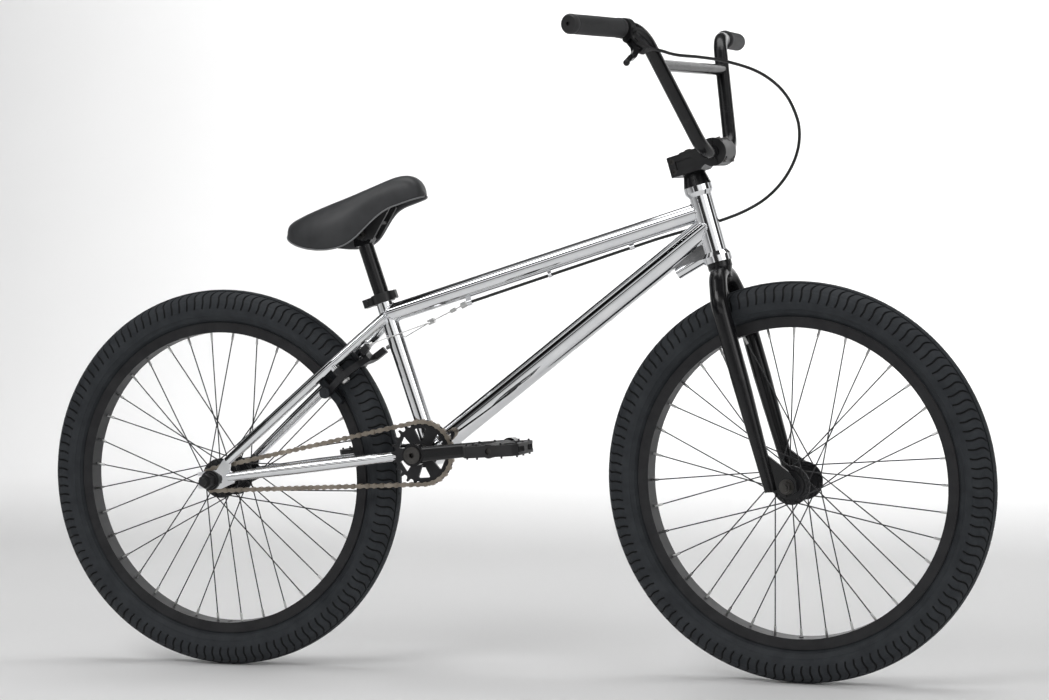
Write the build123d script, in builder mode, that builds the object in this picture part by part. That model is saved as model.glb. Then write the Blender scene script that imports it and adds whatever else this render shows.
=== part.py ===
from build123d import *
import os
from math import sin, cos, tan, radians, degrees, atan2, asin, hypot, sqrt, pi

os.makedirs("parts", exist_ok=True)

# ---------------------------------------------------------------- dimensions
# millimetres; +X forward, +Y to the rider's left, +Z up, ground at Z = 0,
# X = 0 midway between the two axles, Y = 0 in the frame's middle plane.
WHEELBASE = 978.0
AXLE_Z = 314.0                    # outer tyre radius, 24 inch wheel (507 mm bead seat)
TYRE_SECTION = 28.6               # radius of the tyre's round section
TYRE_INNER = 25.2
RIM_OUT, RIM_IN, RIM_HALF = 259.5, 243.0, 16.2
XR, XF = -WHEELBASE / 2, WHEELBASE / 2
BB = Vector(-118.0, 0, 360.3)     # bottom bracket centre
SEAT_SLOPE = 0.3249               # seat tube: x falls by this for each mm of height (72 deg)
HEAD_DEG = 75.0
STEER_REST = -5.0                 # the bars and front wheel rest turned 5 deg to the right
TOP_TUBE_R, DOWN_TUBE_R, SEAT_TUBE_R = 15.0, 18.6, 14.3
HEAD_R, HEAD_CUP_R = 18.2, 23.0
POST_R = 12.7
BAR_R, BAR_BORE = 11.1, 9.6
CRANK_LEN, CRANK_DEG = 165.0, 5.4
CHAINLINE = 45.0
PITCH = 12.7
TEETH, COG_TEETH = 25, 9
REAR_OLD, FRONT_OLD = 110.0, 100.0   # over-locknut widths

# ---------------------------------------------------------------- steering frame
D = Vector(-cos(radians(HEAD_DEG)), 0, sin(radians(HEAD_DEG)))   # up the steering axis
N = Vector(sin(radians(HEAD_DEG)), 0, cos(radians(HEAD_DEG)))    # forward, square to it
P0 = Vector(461.3, 0, AXLE_Z)
STEER = Axis(tuple(P0), tuple(D))


def st(s, f, y=0.0):
    """Point s up the steering axis, f forward of it, y to the left."""
    return P0 + D * s + N * f + Vector(0, y, 0)


def turned(p):
    """The same point with the steering at its rest angle."""
    v = p - P0
    a = radians(STEER_REST)
    return P0 + v * cos(a) + D.cross(v) * sin(a) + D * (v.dot(D) * (1 - cos(a)))


def seat_axis(z):
    return Vector(-117.4 - (z - BB.Z) * SEAT_SLOPE, 0, z)


# ---------------------------------------------------------------- small builders
def cyl(a, b, r, mode=Mode.ADD):
    a, b = Vector(*a), Vector(*b)
    with BuildSketch(Plane(origin=a, z_dir=b - a)) as s:
        Circle(r)
    extrude(s.sketch, amount=(b - a).length, mode=mode)


def cone(a, b, ra, rb, mode=Mode.ADD):
    a, b = Vector(*a), Vector(*b)
    z = (b - a).normalized()
    x = z.cross(Vector(0, 1, 0))
    if x.length < 0.1:
        x = z.cross(Vector(1, 0, 0))
    L = (b - a).length
    with BuildSketch(Plane(origin=a, x_dir=x, z_dir=x.cross(z))) as s:
        with BuildLine():
            Polyline((0, 0), (ra, 0), (rb, L), (0, L), close=True)
        make_face()
    revolve(s.sketch, axis=Axis(tuple(a), tuple(z)), mode=mode)


def ring(a, b, ro, ri, mode=Mode.ADD):
    a, b = Vector(*a), Vector(*b)
    with BuildSketch(Plane(origin=a, z_dir=b - a)) as s:
        Circle(ro)
        Circle(ri, mode=Mode.SUBTRACT)
    extrude(s.sketch, amount=(b - a).length, mode=mode)


def hexagon(a, b, across, bore=0.0, mode=Mode.ADD):
    a, b = Vector(*a), Vector(*b)
    with BuildSketch(Plane(origin=a, z_dir=b - a)) as s:
        RegularPolygon(across / 2, 6, major_radius=False)
        if bore:
            Circle(bore, mode=Mode.SUBTRACT)
    extrude(s.sketch, amount=(b - a).length, mode=mode)


def tube_path(points, radii, r, mode=Mode.ADD):
    """Round bar along straight runs joined by tangent arcs."""
    pts = [Vector(*p) for p in points]
    with BuildLine() as line:
        FilletPolyline(*pts, radius=radii)
    wire = line.wires()[0]
    with BuildSketch(Plane(origin=pts[0], z_dir=pts[1] - pts[0])) as s:
        Circle(r)
    sweep(s.sketch, path=wire, mode=mode)
    return wire


def corner_radii(points, least=0.0):
    """Each arc as large as its two runs allow."""
    out = []
    for i in range(1, len(points) - 1):
        a, b, c = points[i - 1], points[i], points[i + 1]
        turn = radians((b - a).get_angle(c - b))
        out.append(max(least, 0.45 * min((b - a).length, (c - b).length) / tan(turn / 2)))
    return out


def revolved(cx, rects, holes=()):
    """Rings about a wheel's axle from (r0, r1, y0, y1) rectangles."""
    with BuildSketch(Plane(origin=(cx, 0, AXLE_Z), x_dir=(1, 0, 0), z_dir=(0, 0, 1))) as s:
        for r0, r1, y0, y1 in rects:
            with Locations(((r0 + r1) / 2, (y0 + y1) / 2)):
                Rectangle(r1 - r0, y1 - y0)
        for r0, r1, y0, y1 in holes:
            with Locations(((r0 + r1) / 2, (y0 + y1) / 2)):
                Rectangle(r1 - r0, y1 - y0, mode=Mode.SUBTRACT)
    revolve(s.sketch, axis=Axis((cx, 0, AXLE_Z), (0, 1, 0)))


PARTS = {}


def keep(name, part, steer=False):
    if steer:
        part = part.rotate(STEER, STEER_REST)
    part.label = name
    PARTS[name] = part


# ================================================================= frame
HT_LOW, HT_TOP = 357.2, 480.4
with BuildPart() as head_tube:
    cyl(st(HT_LOW, 0), st(HT_TOP, 0), HEAD_R)
    cyl(st(HT_LOW, 0), st(HT_LOW + 10, 0), HEAD_CUP_R)
    cone(st(HT_LOW + 10, 0), st(HT_LOW + 17, 0), HEAD_CUP_R, HEAD_R)
    cyl(st(HT_TOP - 9, 0), st(HT_TOP, 0), HEAD_CUP_R)
    cone(st(HT_TOP - 16, 0), st(HT_TOP - 9, 0), HEAD_R, HEAD_CUP_R)
    cyl(st(HT_LOW - 1, 0), st(HT_TOP + 1, 0), 16.4, mode=Mode.SUBTRACT)
    cyl(st(HT_LOW - 1, 0), st(HT_LOW + 8, 0), 20.9, mode=Mode.SUBTRACT)
    cyl(st(HT_TOP - 8, 0), st(HT_TOP + 1, 0), 20.9, mode=Mode.SUBTRACT)
    # two small vent holes on the right side near the top
    for s_ in (455.0, 461.0):
        cyl(st(s_, -1, -30), st(s_, -1, -10), 0.9, mode=Mode.SUBTRACT)
keep("head_tube", head_tube.part)

TT_A, TT_B = Vector(-196.0, 0, 581.35), Vector(345.0, 0, 740.05)
DT_A, DT_B = Vector(-117.4, 0, 360.3), Vector(353.8, 0, 715.2)
SEAT_TOP = 616.0

with BuildPart() as bottom_bracket_shell:
    ring((BB.X, -36.5, BB.Z), (BB.X, 36.5, BB.Z), 24.2, 20.6)
    ring((BB.X, -28.0, BB.Z), (BB.X, 28.0, BB.Z), 24.2, 19.4)
keep("bottom_bracket_shell", bottom_bracket_shell.part)

with BuildPart() as seat_tube:
    cyl(seat_axis(BB.Z + 6), seat_axis(SEAT_TOP), SEAT_TUBE_R)
    cyl(seat_axis(BB.Z - 30), seat_axis(SEAT_TOP + 5), POST_R + 0.08, mode=Mode.SUBTRACT)
    cyl((BB.X, -60, BB.Z), (BB.X, 60, BB.Z), 24.2, mode=Mode.SUBTRACT)
keep("seat_tube", seat_tube.part)

with BuildPart() as top_tube:
    cyl(TT_A, TT_B, TOP_TUBE_R)
    cyl(TT_A, TT_B, TOP_TUBE_R - 1.2, mode=Mode.SUBTRACT)
    cyl(st(HT_LOW - 30, 0), st(HT_TOP + 60, 0), HEAD_R, mode=Mode.SUBTRACT)
    cyl(st(HT_TOP - 16, 0), st(HT_TOP + 60, 0), HEAD_CUP_R, mode=Mode.SUBTRACT)
    cyl(seat_axis(500), seat_axis(700), SEAT_TUBE_R, mode=Mode.SUBTRACT)
    with BuildSketch(Plane(origin=seat_axis(560), z_dir=(-1, 0, -0.3249))) as behind:
        Rectangle(200, 200)
    extrude(behind.sketch, amount=80, mode=Mode.SUBTRACT)
keep("top_tube", top_tube.part)

# down tube with the small gusset welded under its upper end
with BuildPart() as down_tube:
    cyl(DT_A, DT_B, DOWN_TUBE_R)
    with BuildSketch(Plane.XZ.offset(-9)) as gusset:
        with BuildLine():
            Polyline((285.0, 646.0), (352.0, 706.0), (362.0, 667.5), (356.0, 666.8), close=True)
        make_face()
    extrude(gusset.sketch, amount=18)
    cyl((302.0, 0, 641.5), (366.0, 0, 677.0), 9.0)
    cyl(DT_A, DT_B, DOWN_TUBE_R - 1.2, mode=Mode.SUBTRACT)
    cyl(TT_A, TT_B, TOP_TUBE_R, mode=Mode.SUBTRACT)
    cyl(st(HT_LOW - 30, 0), st(HT_TOP + 60, 0), HEAD_R, mode=Mode.SUBTRACT)
    cyl(st(HT_LOW - 30, 0), st(HT_LOW + 10, 0), HEAD_CUP_R, mode=Mode.SUBTRACT)
    cone(st(HT_LOW + 10, 0), st(HT_LOW + 17, 0), HEAD_CUP_R, HEAD_R, mode=Mode.SUBTRACT)
    with BuildSketch(Plane(origin=st(300, 0), x_dir=(0, 1, 0), z_dir=N)) as ahead:
        Rectangle(200, 600)
    extrude(ahead.sketch, amount=100, mode=Mode.SUBTRACT)
    cyl((BB.X, -60, BB.Z), (BB.X, 60, BB.Z), 24.2, mode=Mode.SUBTRACT)
    cyl(seat_axis(300), seat_axis(500), SEAT_TUBE_R, mode=Mode.SUBTRACT)
    with BuildSketch(Plane.YZ.offset(BB.X)) as rear_half:
        Rectangle(200, 1200)
    extrude(rear_half.sketch, amount=-60, mode=Mode.SUBTRACT)
keep("down_tube", down_tube.part)

def between(a, b, t):
    return a + (b - a) * t


with BuildPart() as chain_stays:
    for side in (-1, 1):
        p = [Vector(-124, side * 25.5, 358.5), Vector(-171, side * 31.0, 353.6), Vector(-205, side * 41.5, 349.6)]
        tip = Vector(-458, side * 58.5, 319.6)
        knee = between(p[2], tip, 0.53)
        tube_path([p[0], p[1], p[2], knee], [90, 90], 9.5)
        cone(knee, tip, 9.5, 7.2)
    cyl((-154, -26, 355.4), (-154, 26, 355.4), 7.0)
    for side in (-1, 1):
        tip = Vector(-458, side * 58.5, 319.6)
        low = Vector(-205, side * 41.5, 349.6)
        knee = between(low, tip, 0.53)
        cyl(between(low, tip, 0.12), knee, 8.2, mode=Mode.SUBTRACT)
        cone(knee, between(low, tip, 0.97), 8.2, 6.0, mode=Mode.SUBTRACT)
    cyl((BB.X, -60, BB.Z), (BB.X, 60, BB.Z), 24.2, mode=Mode.SUBTRACT)
    cyl(seat_axis(330), seat_axis(430), SEAT_TUBE_R, mode=Mode.SUBTRACT)
keep("chain_stays", chain_stays.part)

# brake frame: r along the seat stays from the rear axle, f ahead of them
STAY = radians(41.5)
ER = Vector(cos(STAY), 0, sin(STAY))
EF = Vector(sin(STAY), 0, -cos(STAY))
RA = Vector(XR, 0, AXLE_Z)


def bk(y, r, f):
    return RA + ER * r + EF * f + Vector(0, y, 0)


PIVOT_Y, PIVOT_R = 41.0, 287.0
with BuildPart() as seat_stays:
    for side in (-1, 1):
        top, bend, tip = bk(side * 15.0, 404, 0), bk(side * 41.0, 284, 0), bk(side * 58.3, 44, -3.5)
        knee = between(bend, tip, 0.6)
        tube_path([top, bend, knee], [160], 9.0)
        cone(knee, tip, 9.0, 7.2)
        cyl(bk(side * PIVOT_Y, PIVOT_R, 4), bk(side * PIVOT_Y, PIVOT_R, 11.5), 8.0)
    cyl(bk(-31, 331, 0), bk(31, 331, 0), 6.5)
    for side in (-1, 1):
        bend, tip = bk(side * 41.0, 284, 0), bk(side * 58.3, 44, -3.5)
        knee = between(bend, tip, 0.6)
        cyl(between(bend, tip, 0.12), knee, 7.8, mode=Mode.SUBTRACT)
        cone(knee, between(bend, tip, 0.96), 7.8, 6.0, mode=Mode.SUBTRACT)
    cyl(seat_axis(500), seat_axis(640), SEAT_TUBE_R, mode=Mode.SUBTRACT)
    cyl(TT_A, TT_B, TOP_TUBE_R, mode=Mode.SUBTRACT)
    with BuildSketch(Plane(origin=seat_axis(560), z_dir=(1, 0, 0.3249))) as front_cut:
        Rectangle(200, 200)
    extrude(front_cut.sketch, amount=80, mode=Mode.SUBTRACT)
keep("seat_stays", seat_stays.part)

with BuildPart() as rear_dropouts:
    for side in (-1, 1):
        y0 = REAR_OLD / 2
        with BuildSketch(Plane.XZ.offset(y0 if side < 0 else -y0 - 6)) as plate:
            with BuildLine():
                Polyline((-512, 300), (-512, 327), (-478, 331), (-463.5, 350.5), (-452.5, 342.5),
                         (-455.5, 329.5), (-447.5, 326.5), (-447.5, 309.5), (-470, 300), close=True)
            make_face()
            fillet(plate.vertices(), 3.0)
            # open-ended axle slot, its mouth to the rear
            with Locations((XR - 20, AXLE_Z)):
                Rectangle(40, 14.4, mode=Mode.SUBTRACT)
            with Locations((XR, AXLE_Z)):
                Circle(7.2, mode=Mode.SUBTRACT)
        extrude(plate.sketch, amount=6)
    for side in (-1, 1):
        cone(between(bk(side * 41.0, 284, 0), bk(side * 58.3, 44, -3.5), 0.6), bk(side * 58.3, 44, -3.5), 9.0, 7.2, mode=Mode.SUBTRACT)
        low, tip = Vector(-205, side * 41.5, 349.6), Vector(-458, side * 58.5, 319.6)
        cone(between(low, tip, 0.53), tip, 9.5, 7.2, mode=Mode.SUBTRACT)
keep("rear_dropouts", rear_dropouts.part)

# cable stop and guides brazed under the top tube
ROUTE_A, ROUTE_B = Vector(-46.0, 0, 601.75), Vector(229.2, 0, 685.3)
RUN = (ROUTE_B - ROUTE_A).normalized()
with BuildPart() as cable_guides:
    for d0, d1, rr in ((-6.0, 3.0, 5.2), (140.0, 146.0, 4.2), (283.0, 291.0, 4.2)):
        a, b = ROUTE_A + RUN * d0, ROUTE_A + RUN * d1
        cyl(a, b, rr)
        m = (a + b) * 0.5
        with BuildSketch(Plane(origin=m, x_dir=RUN, z_dir=(-RUN.Z, 0, RUN.X))) as foot:
            Rectangle(d1 - d0, 5.0)
        extrude(foot.sketch, amount=12.0)
    cyl(TT_A, TT_B, TOP_TUBE_R, mode=Mode.SUBTRACT)
    cyl(ROUTE_A + RUN * 0.0, ROUTE_A + RUN * 300, 2.6, mode=Mode.SUBTRACT)
    cyl(ROUTE_A - RUN * 10.0, ROUTE_A + RUN * 10, 1.2, mode=Mode.SUBTRACT)
keep("cable_guides", cable_guides.part)

with BuildPart() as headset_bearings:
    ring(st(HT_LOW + 0.6, 0), st(HT_LOW + 8, 0), 20.9, 15.4)
    ring(st(HT_TOP - 8, 0), st(HT_TOP - 0.6, 0), 20.9, 15.4)
keep("headset_bearings", headset_bearings.part)

with BuildPart() as bottom_bracket_bearings:
    ring((BB.X, -36.5, BB.Z), (BB.X, -28.2, BB.Z), 20.6, 11.07)
    ring((BB.X, 36.5, BB.Z), (BB.X, 28.2, BB.Z), 20.6, 11.07)
keep("bottom_bracket_bearings", bottom_bracket_bearings.part)

# seat clamp: a split collar with a bolt through its rear ears
SA = (seat_axis(700) - seat_axis(500)).normalized()
SB = Vector(SA.Z, 0, -SA.X)      # forward, square to the seat tube
C0 = seat_axis(610.0)
with BuildPart() as seat_clamp:
    ring(C0 - SA * 8.0, C0 + SA * 7.5, 18.6, SEAT_TUBE_R + 0.02)
    for f0, f1, w in ((-34.0, -15.0, 20.0), (15.0, 25.0, 16.0)):
        with BuildSketch(Plane(origin=C0 - SA * 7.0 + SB * ((f0 + f1) / 2), x_dir=SB, z_dir=SA)) as ear:
            RectangleRounded(f1 - f0, w, 4.0)
        extrude(ear.sketch, amount=13.5)
    cyl(C0 - SA * 10, C0 + SA * 10, SEAT_TUBE_R + 0.02, mode=Mode.SUBTRACT)
    with BuildSketch(Plane(origin=C0 - SA * 12 + SB * (-28), x_dir=SB, z_dir=SA)) as split_gap:
        Rectangle(30.0, 2.4)
    extrude(split_gap.sketch, amount=24, mode=Mode.SUBTRACT)
    cyl(C0 + SB * (-26.5) + Vector(0, -16, 0), C0 + SB * (-26.5) + Vector(0, 16, 0), 2.6, mode=Mode.SUBTRACT)
    cyl(C0 + SB * (-26.5) + Vector(0, -15, 0), C0 + SB * (-26.5) + Vector(0, -7, 0), 4.4, mode=Mode.SUBTRACT)
    # clamp bolt, a separate solid in the same node
    cyl(C0 + SB * (-26.5) + Vector(0, -11.5, 0), C0 + SB * (-26.5) + Vector(0, -7.1, 0), 4.2)
    cyl(C0 + SB * (-26.5) + Vector(0, -7.2, 0), C0 + SB * (-26.5) + Vector(0, 9.5, 0), 2.5)
keep("seat_clamp", seat_clamp.part)

# ================================================================= seat
with BuildPart() as seatpost:
    cyl(seat_axis(505), seat_axis(697), POST_R)
    cyl(seat_axis(500), seat_axis(690), POST_R - 1.6, mode=Mode.SUBTRACT)
    # curved head that carries the pivot bolt
    with BuildSketch(Plane.XZ.offset(-11)) as head:
        with BuildLine():
            Polyline((-243, 693), (-216, 700), (-207, 716), (-216, 727), (-232, 727), (-243, 712), close=True)
        make_face()
        fillet(head.vertices(), 4.0)
    extrude(head.sketch, amount=22)
    cyl((-224.5, -20, 714), (-224.5, 20, 714), 5.3, mode=Mode.SUBTRACT)
keep("seatpost", seatpost.part)

PIV = Vector(-224.5, 0, 714)
with BuildPart() as seat_bolt:
    cyl(PIV + Vector(0, -22, 0), PIV + Vector(0, 22, 0), 4.0)
    cyl(PIV + Vector(0, -10.95, 0), PIV + Vector(0, 10.95, 0), 5.25)
    cyl(PIV + Vector(0, -25, 0), PIV + Vector(0, -17.6, 0), 6.5)
    cyl(PIV + Vector(0, 17.6, 0), PIV + Vector(0, 25, 0), 6.5)
    for s_ in (-1, 1):
        hexagon(PIV + Vector(0, s_ * 25.5, 0), PIV + Vector(0, s_ * 21, 0), 5.0, mode=Mode.SUBTRACT)
keep("seat_bolt", seat_bolt.part)

# seat stations along the saddle: (x, half width, z of the underside, z of the crown)
STATIONS = [(-352, 40, 716, 733), (-330, 58, 704, 746), (-285, 69, 697, 763), (-245, 66, 702, 777),
            (-215, 50, 722, 788), (-190, 36, 746, 797), (-160, 29, 763, 804), (-134, 22, 771, 803)]
PAD_T = 24.0                       # thickness of the pad over the shell
with BuildPart() as seat_pad:
    secs, hollow = [], []
    for x, hw, z0, z1 in STATIONS:
        with BuildSketch(Plane.YZ.offset(x)) as sec:
            with Locations((0, (z0 + z1) / 2)):
                RectangleRounded(2 * hw, z1 - z0, min(hw, (z1 - z0) / 2) * 0.84)
        secs.append(sec.sketch.faces()[0])
        if -345 < x < -150:
            zc = z1 - PAD_T
            with BuildSketch(Plane.YZ.offset(x)) as gap:
                with Locations((0, (zc + z0 - 40) / 2)):
                    Rectangle(2 * (hw - 9), zc - z0 + 40)
            hollow.append(gap.sketch.faces()[0])
    loft(secs)
    loft(hollow, ruled=True, mode=Mode.SUBTRACT)
keep("seat_pad", seat_pad.part)

# plastic shell under the pad with the two cheeks that hold the pivot bolt
with BuildPart() as seat_base:
    secs = []
    for x, hw, z0, z1 in STATIONS:
        if -345 < x < -150:
            with BuildSketch(Plane.YZ.offset(x)) as sec:
                with Locations((0, z1 - PAD_T - 2.0)):
                    Rectangle(2 * (hw - 9.5), 3.0)
            secs.append(sec.sketch.faces()[0])
    loft(secs, ruled=True)
    for s_ in (-1, 1):
        with BuildSketch(Plane.XZ.offset(s_ * 14.5 - 3.0)) as cheek:
            with BuildLine():
                Polyline((-262, 744.5), (-185, 770), (-176.5, 757), (-207, 707), (-215, 706), (-232, 706), (-246, 714), close=True)
            make_face()
            with Locations((-224.5, 714)):
                Circle(10)
        extrude(cheek.sketch, amount=6.0)
    with BuildSketch(Plane.YZ.offset(-201)) as tie:
        with Locations((0, 733)):
            Rectangle(29, 5)
    extrude(tie.sketch, amount=8)
    cyl(PIV + Vector(0, -30, 0), PIV + Vector(0, 30, 0), 4.1, mode=Mode.SUBTRACT)
keep("seat_base", seat_base.part)

# ================================================================= drivetrain
R1 = PITCH / 2 / sin(pi / TEETH)
R2 = PITCH / 2 / sin(pi / COG_TEETH)
dx, dz = BB.X - XR, BB.Z - AXLE_Z
DIST = hypot(dx, dz)
ALPHA, PHI = atan2(dz, dx), asin((R1 - R2) / hypot(dx, dz))
BT = ALPHA + PHI + pi / 2          # direction of the upper run's normal
BL = ALPHA - PHI - pi / 2          # and of the lower run's
pins = [(BB.X + R1 * cos(BT - radians(14.4) * j), BB.Z + R1 * sin(BT - radians(14.4) * j)) for j in range(14)]


def on_line(p, a, v):
    """The point of the line a + v t one pitch beyond p."""
    w = (a[0] - p[0], a[1] - p[1])
    h = w[0] * v[0] + w[1] * v[1]
    return -h + sqrt(h * h - (w[0] ** 2 + w[1] ** 2 - PITCH ** 2))


# lower run, laid link by link from the sprocket to the driver
low1 = (BB.X + R1 * cos(BL), BB.Z + R1 * sin(BL))
low2 = (XR + R2 * cos(BL), AXLE_Z + R2 * sin(BL))
span = hypot(low2[0] - low1[0], low2[1] - low1[1])
vl = ((low2[0] - low1[0]) / span, (low2[1] - low1[1]) / span)
t = on_line(pins[-1], low1, vl)
while t < span:
    pins.append((low1[0] + vl[0] * t, low1[1] + vl[1] * t))
    t += PITCH
# first roller seated on the driver: one pitch past the last roller of the run
cog_a = BL
while hypot(XR + R2 * cos(cog_a) - pins[-1][0], AXLE_Z + R2 * sin(cog_a) - pins[-1][1]) < PITCH:
    cog_a -= radians(0.05)
COG_PHASE = cog_a
a_ = COG_PHASE
while a_ > BT - 2 * pi:
    pins.append((XR + R2 * cos(a_), AXLE_Z + R2 * sin(a_)))
    a_ -= radians(40)
# upper run back to the first roller
up1 = (XR + R2 * cos(BT), AXLE_Z + R2 * sin(BT))
vu = ((pins[0][0] - up1[0]) / span, (pins[0][1] - up1[1]) / span)
t = on_line(pins[-1], up1, vu)
last = (up1[0] + vu[0] * t, up1[1] + vu[1] * t)
n = round((span - t) / PITCH)
print("upper run", n, "links at", round((span - t) / n, 3))
pins += [(last[0] + (pins[0][0] - last[0]) * i / n, last[1] + (pins[0][1] - last[1]) * i / n) for i in range(n)]
NL = len(pins)
print("chain links", NL, "centre distance", round(DIST, 1))
links = [(pins[i], pins[(i + 1) % NL]) for i in range(NL)]


def link_faces(which, rad, waist):
    with BuildSketch(Plane.XZ) as s:
        for i, (a, b) in enumerate(links):
            if i % 2 != which:
                continue
            L = hypot(b[0] - a[0], b[1] - a[1])
            with Locations(Location(((a[0] + b[0]) / 2, (a[1] + b[1]) / 2, 0), (0, 0, degrees(atan2(b[1] - a[1], b[0] - a[0]))))):
                Rectangle(L, 2 * waist)
            with Locations(a, b):
                Circle(rad)
    return s.sketch


def pin_faces(which, ro, ri=0.0):
    with BuildSketch(Plane.XZ) as s:
        for i, (a, b) in enumerate(links):
            if i % 2 != which:
                continue
            with Locations(a, b):
                Circle(ro)
                if ri:
                    Circle(ri, mode=Mode.SUBTRACT)
    return s.sketch


inner_plate = link_faces(0, 4.15, 2.7)
outer_plate = link_faces(1, 4.0, 2.5)
with BuildPart() as chain_inner_links:
    for y in (CHAINLINE - 2.9, CHAINLINE + 1.6):
        extrude(inner_plate.moved(Location((0, -y, 0))), amount=1.3)
    extrude(pin_faces(0, 3.87).moved(Location((0, -(CHAINLINE - 1.7), 0))), amount=3.4)
    extrude(pin_faces(0, 1.95).moved(Location((0, -(CHAINLINE - 4), 0))), amount=8, mode=Mode.SUBTRACT)
keep("chain_inner_links", chain_inner_links.part)

with BuildPart() as chain_outer_links:
    for y in (CHAINLINE - 4.3, CHAINLINE + 3.1):
        extrude(outer_plate.moved(Location((0, -y, 0))), amount=1.2)
    extrude(pin_faces(1, 1.85).moved(Location((0, -(CHAINLINE - 4.7), 0))), amount=9.4)
keep("chain_outer_links", chain_outer_links.part)


def placed(cx, cz, r, a, pts):
    """Points given about a spot at radius r and angle a, carried round with it."""
    return [(cx + (r + p) * cos(a) - q * sin(a), cz + (r + p) * sin(a) + q * cos(a)) for p, q in pts]


def toothed(n, pr, cx, cz, phase, over, mouth):
    """Toothed wheel outline in the XZ plane with a seat for each roller."""
    with BuildSketch(Plane.XZ) as s:
        with Locations((cx, cz)):
            Circle(pr + over)
        for j in range(n):
            a = phase - 2 * pi / n * j
            with Locations((cx + pr * cos(a), cz + pr * sin(a))):
                Circle(4.12, mode=Mode.SUBTRACT)
            with BuildLine():
                Polyline(*placed(cx, cz, pr, a, [(-0.5, -4.08), (over + 1.5, -mouth), (over + 1.5, mouth), (-0.5, 4.08)]), close=True)
            make_face(mode=Mode.SUBTRACT)
    return s.sketch


with BuildPart() as sprocket:
    teeth = toothed(TEETH, R1, BB.X, BB.Z, BT, 3.2, 6.2)
    extrude(teeth.moved(Location((0, -(CHAINLINE - 1.35), 0))), amount=2.7)
    with BuildSketch(Plane.XZ.offset(CHAINLINE - 2.6)) as web:
        with Locations((BB.X, BB.Z)):
            Circle(45.0)
    extrude(web.sketch, amount=5.2)
    with BuildSketch(Plane.XZ.offset(CHAINLINE - 4)) as windows:
        for j in range(6):
            a = radians(94 + 60 * j)
            with BuildLine():
                Polyline(*placed(BB.X, BB.Z, 31.5, a, [(-11.5, -2.2), (8.5, -11.0), (8.5, 11.0), (-11.5, 2.2)]), close=True)
            make_face()
        fillet(windows.vertices(), 2.0)
    extrude(windows.sketch, amount=8, mode=Mode.SUBTRACT)
    cyl((BB.X, -60, BB.Z), (BB.X, -30, BB.Z), 11.02, mode=Mode.SUBTRACT)
    a_ = radians(CRANK_DEG)
    SB_X, SB_Z = BB.X + 31.5 * cos(radians(4)), BB.Z + 31.5 * sin(radians(4))
    cyl((SB_X, -60, SB_Z), (SB_X, -30, SB_Z), 4.0, mode=Mode.SUBTRACT)
keep("sprocket", sprocket.part)

with BuildPart() as crank_spindle:
    cyl((BB.X, -90.0, BB.Z), (BB.X, 90.0, BB.Z), 11.0)
    cyl((BB.X, -91.0, BB.Z), (BB.X, 91.0, BB.Z), 7.5, mode=Mode.SUBTRACT)
    # spacers between the bearings and the arms
    ring((BB.X, -42.3, BB.Z), (BB.X, -36.8, BB.Z), 15.0, 10.9)
    ring((BB.X, -71.9, BB.Z), (BB.X, -47.7, BB.Z), 14.0, 10.9)
    ring((BB.X, 36.8, BB.Z), (BB.X, 71.9, BB.Z), 14.0, 10.9)
keep("crank_spindle", crank_spindle.part)

ARM_Y = 81.0


def pedal_point(side, y):
    a = radians(CRANK_DEG)
    s_ = 1 if side < 0 else -1
    return Vector(BB.X + s_ * CRANK_LEN * cos(a), y, BB.Z + s_ * CRANK_LEN * sin(a))


def crank_arm_shape(side):
    y0, y1 = side * (ARM_Y - 9.0), side * (ARM_Y + 9.0)
    pe = pedal_point(side, 0)
    u = (Vector(pe.X, 0, pe.Z) - Vector(BB.X, 0, BB.Z)).normalized()
    cyl((BB.X, y0, BB.Z), (BB.X, y1, BB.Z), 18.0)
    cyl((pe.X, y0, pe.Z), (pe.X, y1, pe.Z), 13.5)
    # the arm's box section, rounded
    with BuildSketch(Plane(origin=Vector(BB.X, side * ARM_Y, BB.Z) + u * 12, x_dir=(0, 1, 0), z_dir=u)) as sec:
        RectangleRounded(17.0, 24.5, 6.5)
    with BuildSketch(Plane(origin=Vector(BB.X, side * ARM_Y, BB.Z) + u * 160, x_dir=(0, 1, 0), z_dir=u)) as sec2:
        RectangleRounded(15.0, 21.0, 6.0)
    loft([sec.sketch.faces()[0], sec2.sketch.faces()[0]])
    cyl((BB.X, side * 60, BB.Z), (BB.X, side * 100, BB.Z), 11.02, mode=Mode.SUBTRACT)
    cyl((pe.X, side * 60, pe.Z), (pe.X, side * 100, pe.Z), 7.2, mode=Mode.SUBTRACT)


with BuildPart() as crank_arm_right:
    crank_arm_shape(-1)
    # boss that carries the sprocket bolt
    cyl((SB_X, -76.0, SB_Z), (SB_X, -48.0, SB_Z), 7.5)
    cyl((SB_X, -74.0, SB_Z), (SB_X, -40.0, SB_Z), 4.0, mode=Mode.SUBTRACT)
keep("crank_arm_right", crank_arm_right.part)

with BuildPart() as crank_arm_left:
    crank_arm_shape(1)
keep("crank_arm_left", crank_arm_left.part)

with BuildPart() as crank_bolts:
    for s_ in (-1, 1):
        cyl((BB.X, s_ * 60.0, BB.Z), (BB.X, s_ * 90.3, BB.Z), 7.4)
        cyl((BB.X, s_ * 90.3, BB.Z), (BB.X, s_ * 94.5, BB.Z), 13.6)
        hexagon((BB.X, s_ * 86.0, BB.Z), (BB.X, s_ * 96.0, BB.Z), 8.0, mode=Mode.SUBTRACT)
    cyl((SB_X, -71.5, SB_Z), (SB_X, -41.9, SB_Z), 3.9)
    cyl((SB_X, -42.2, SB_Z), (SB_X, -39.6, SB_Z), 6.0)
keep("crank_bolts", crank_bolts.part)

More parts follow.
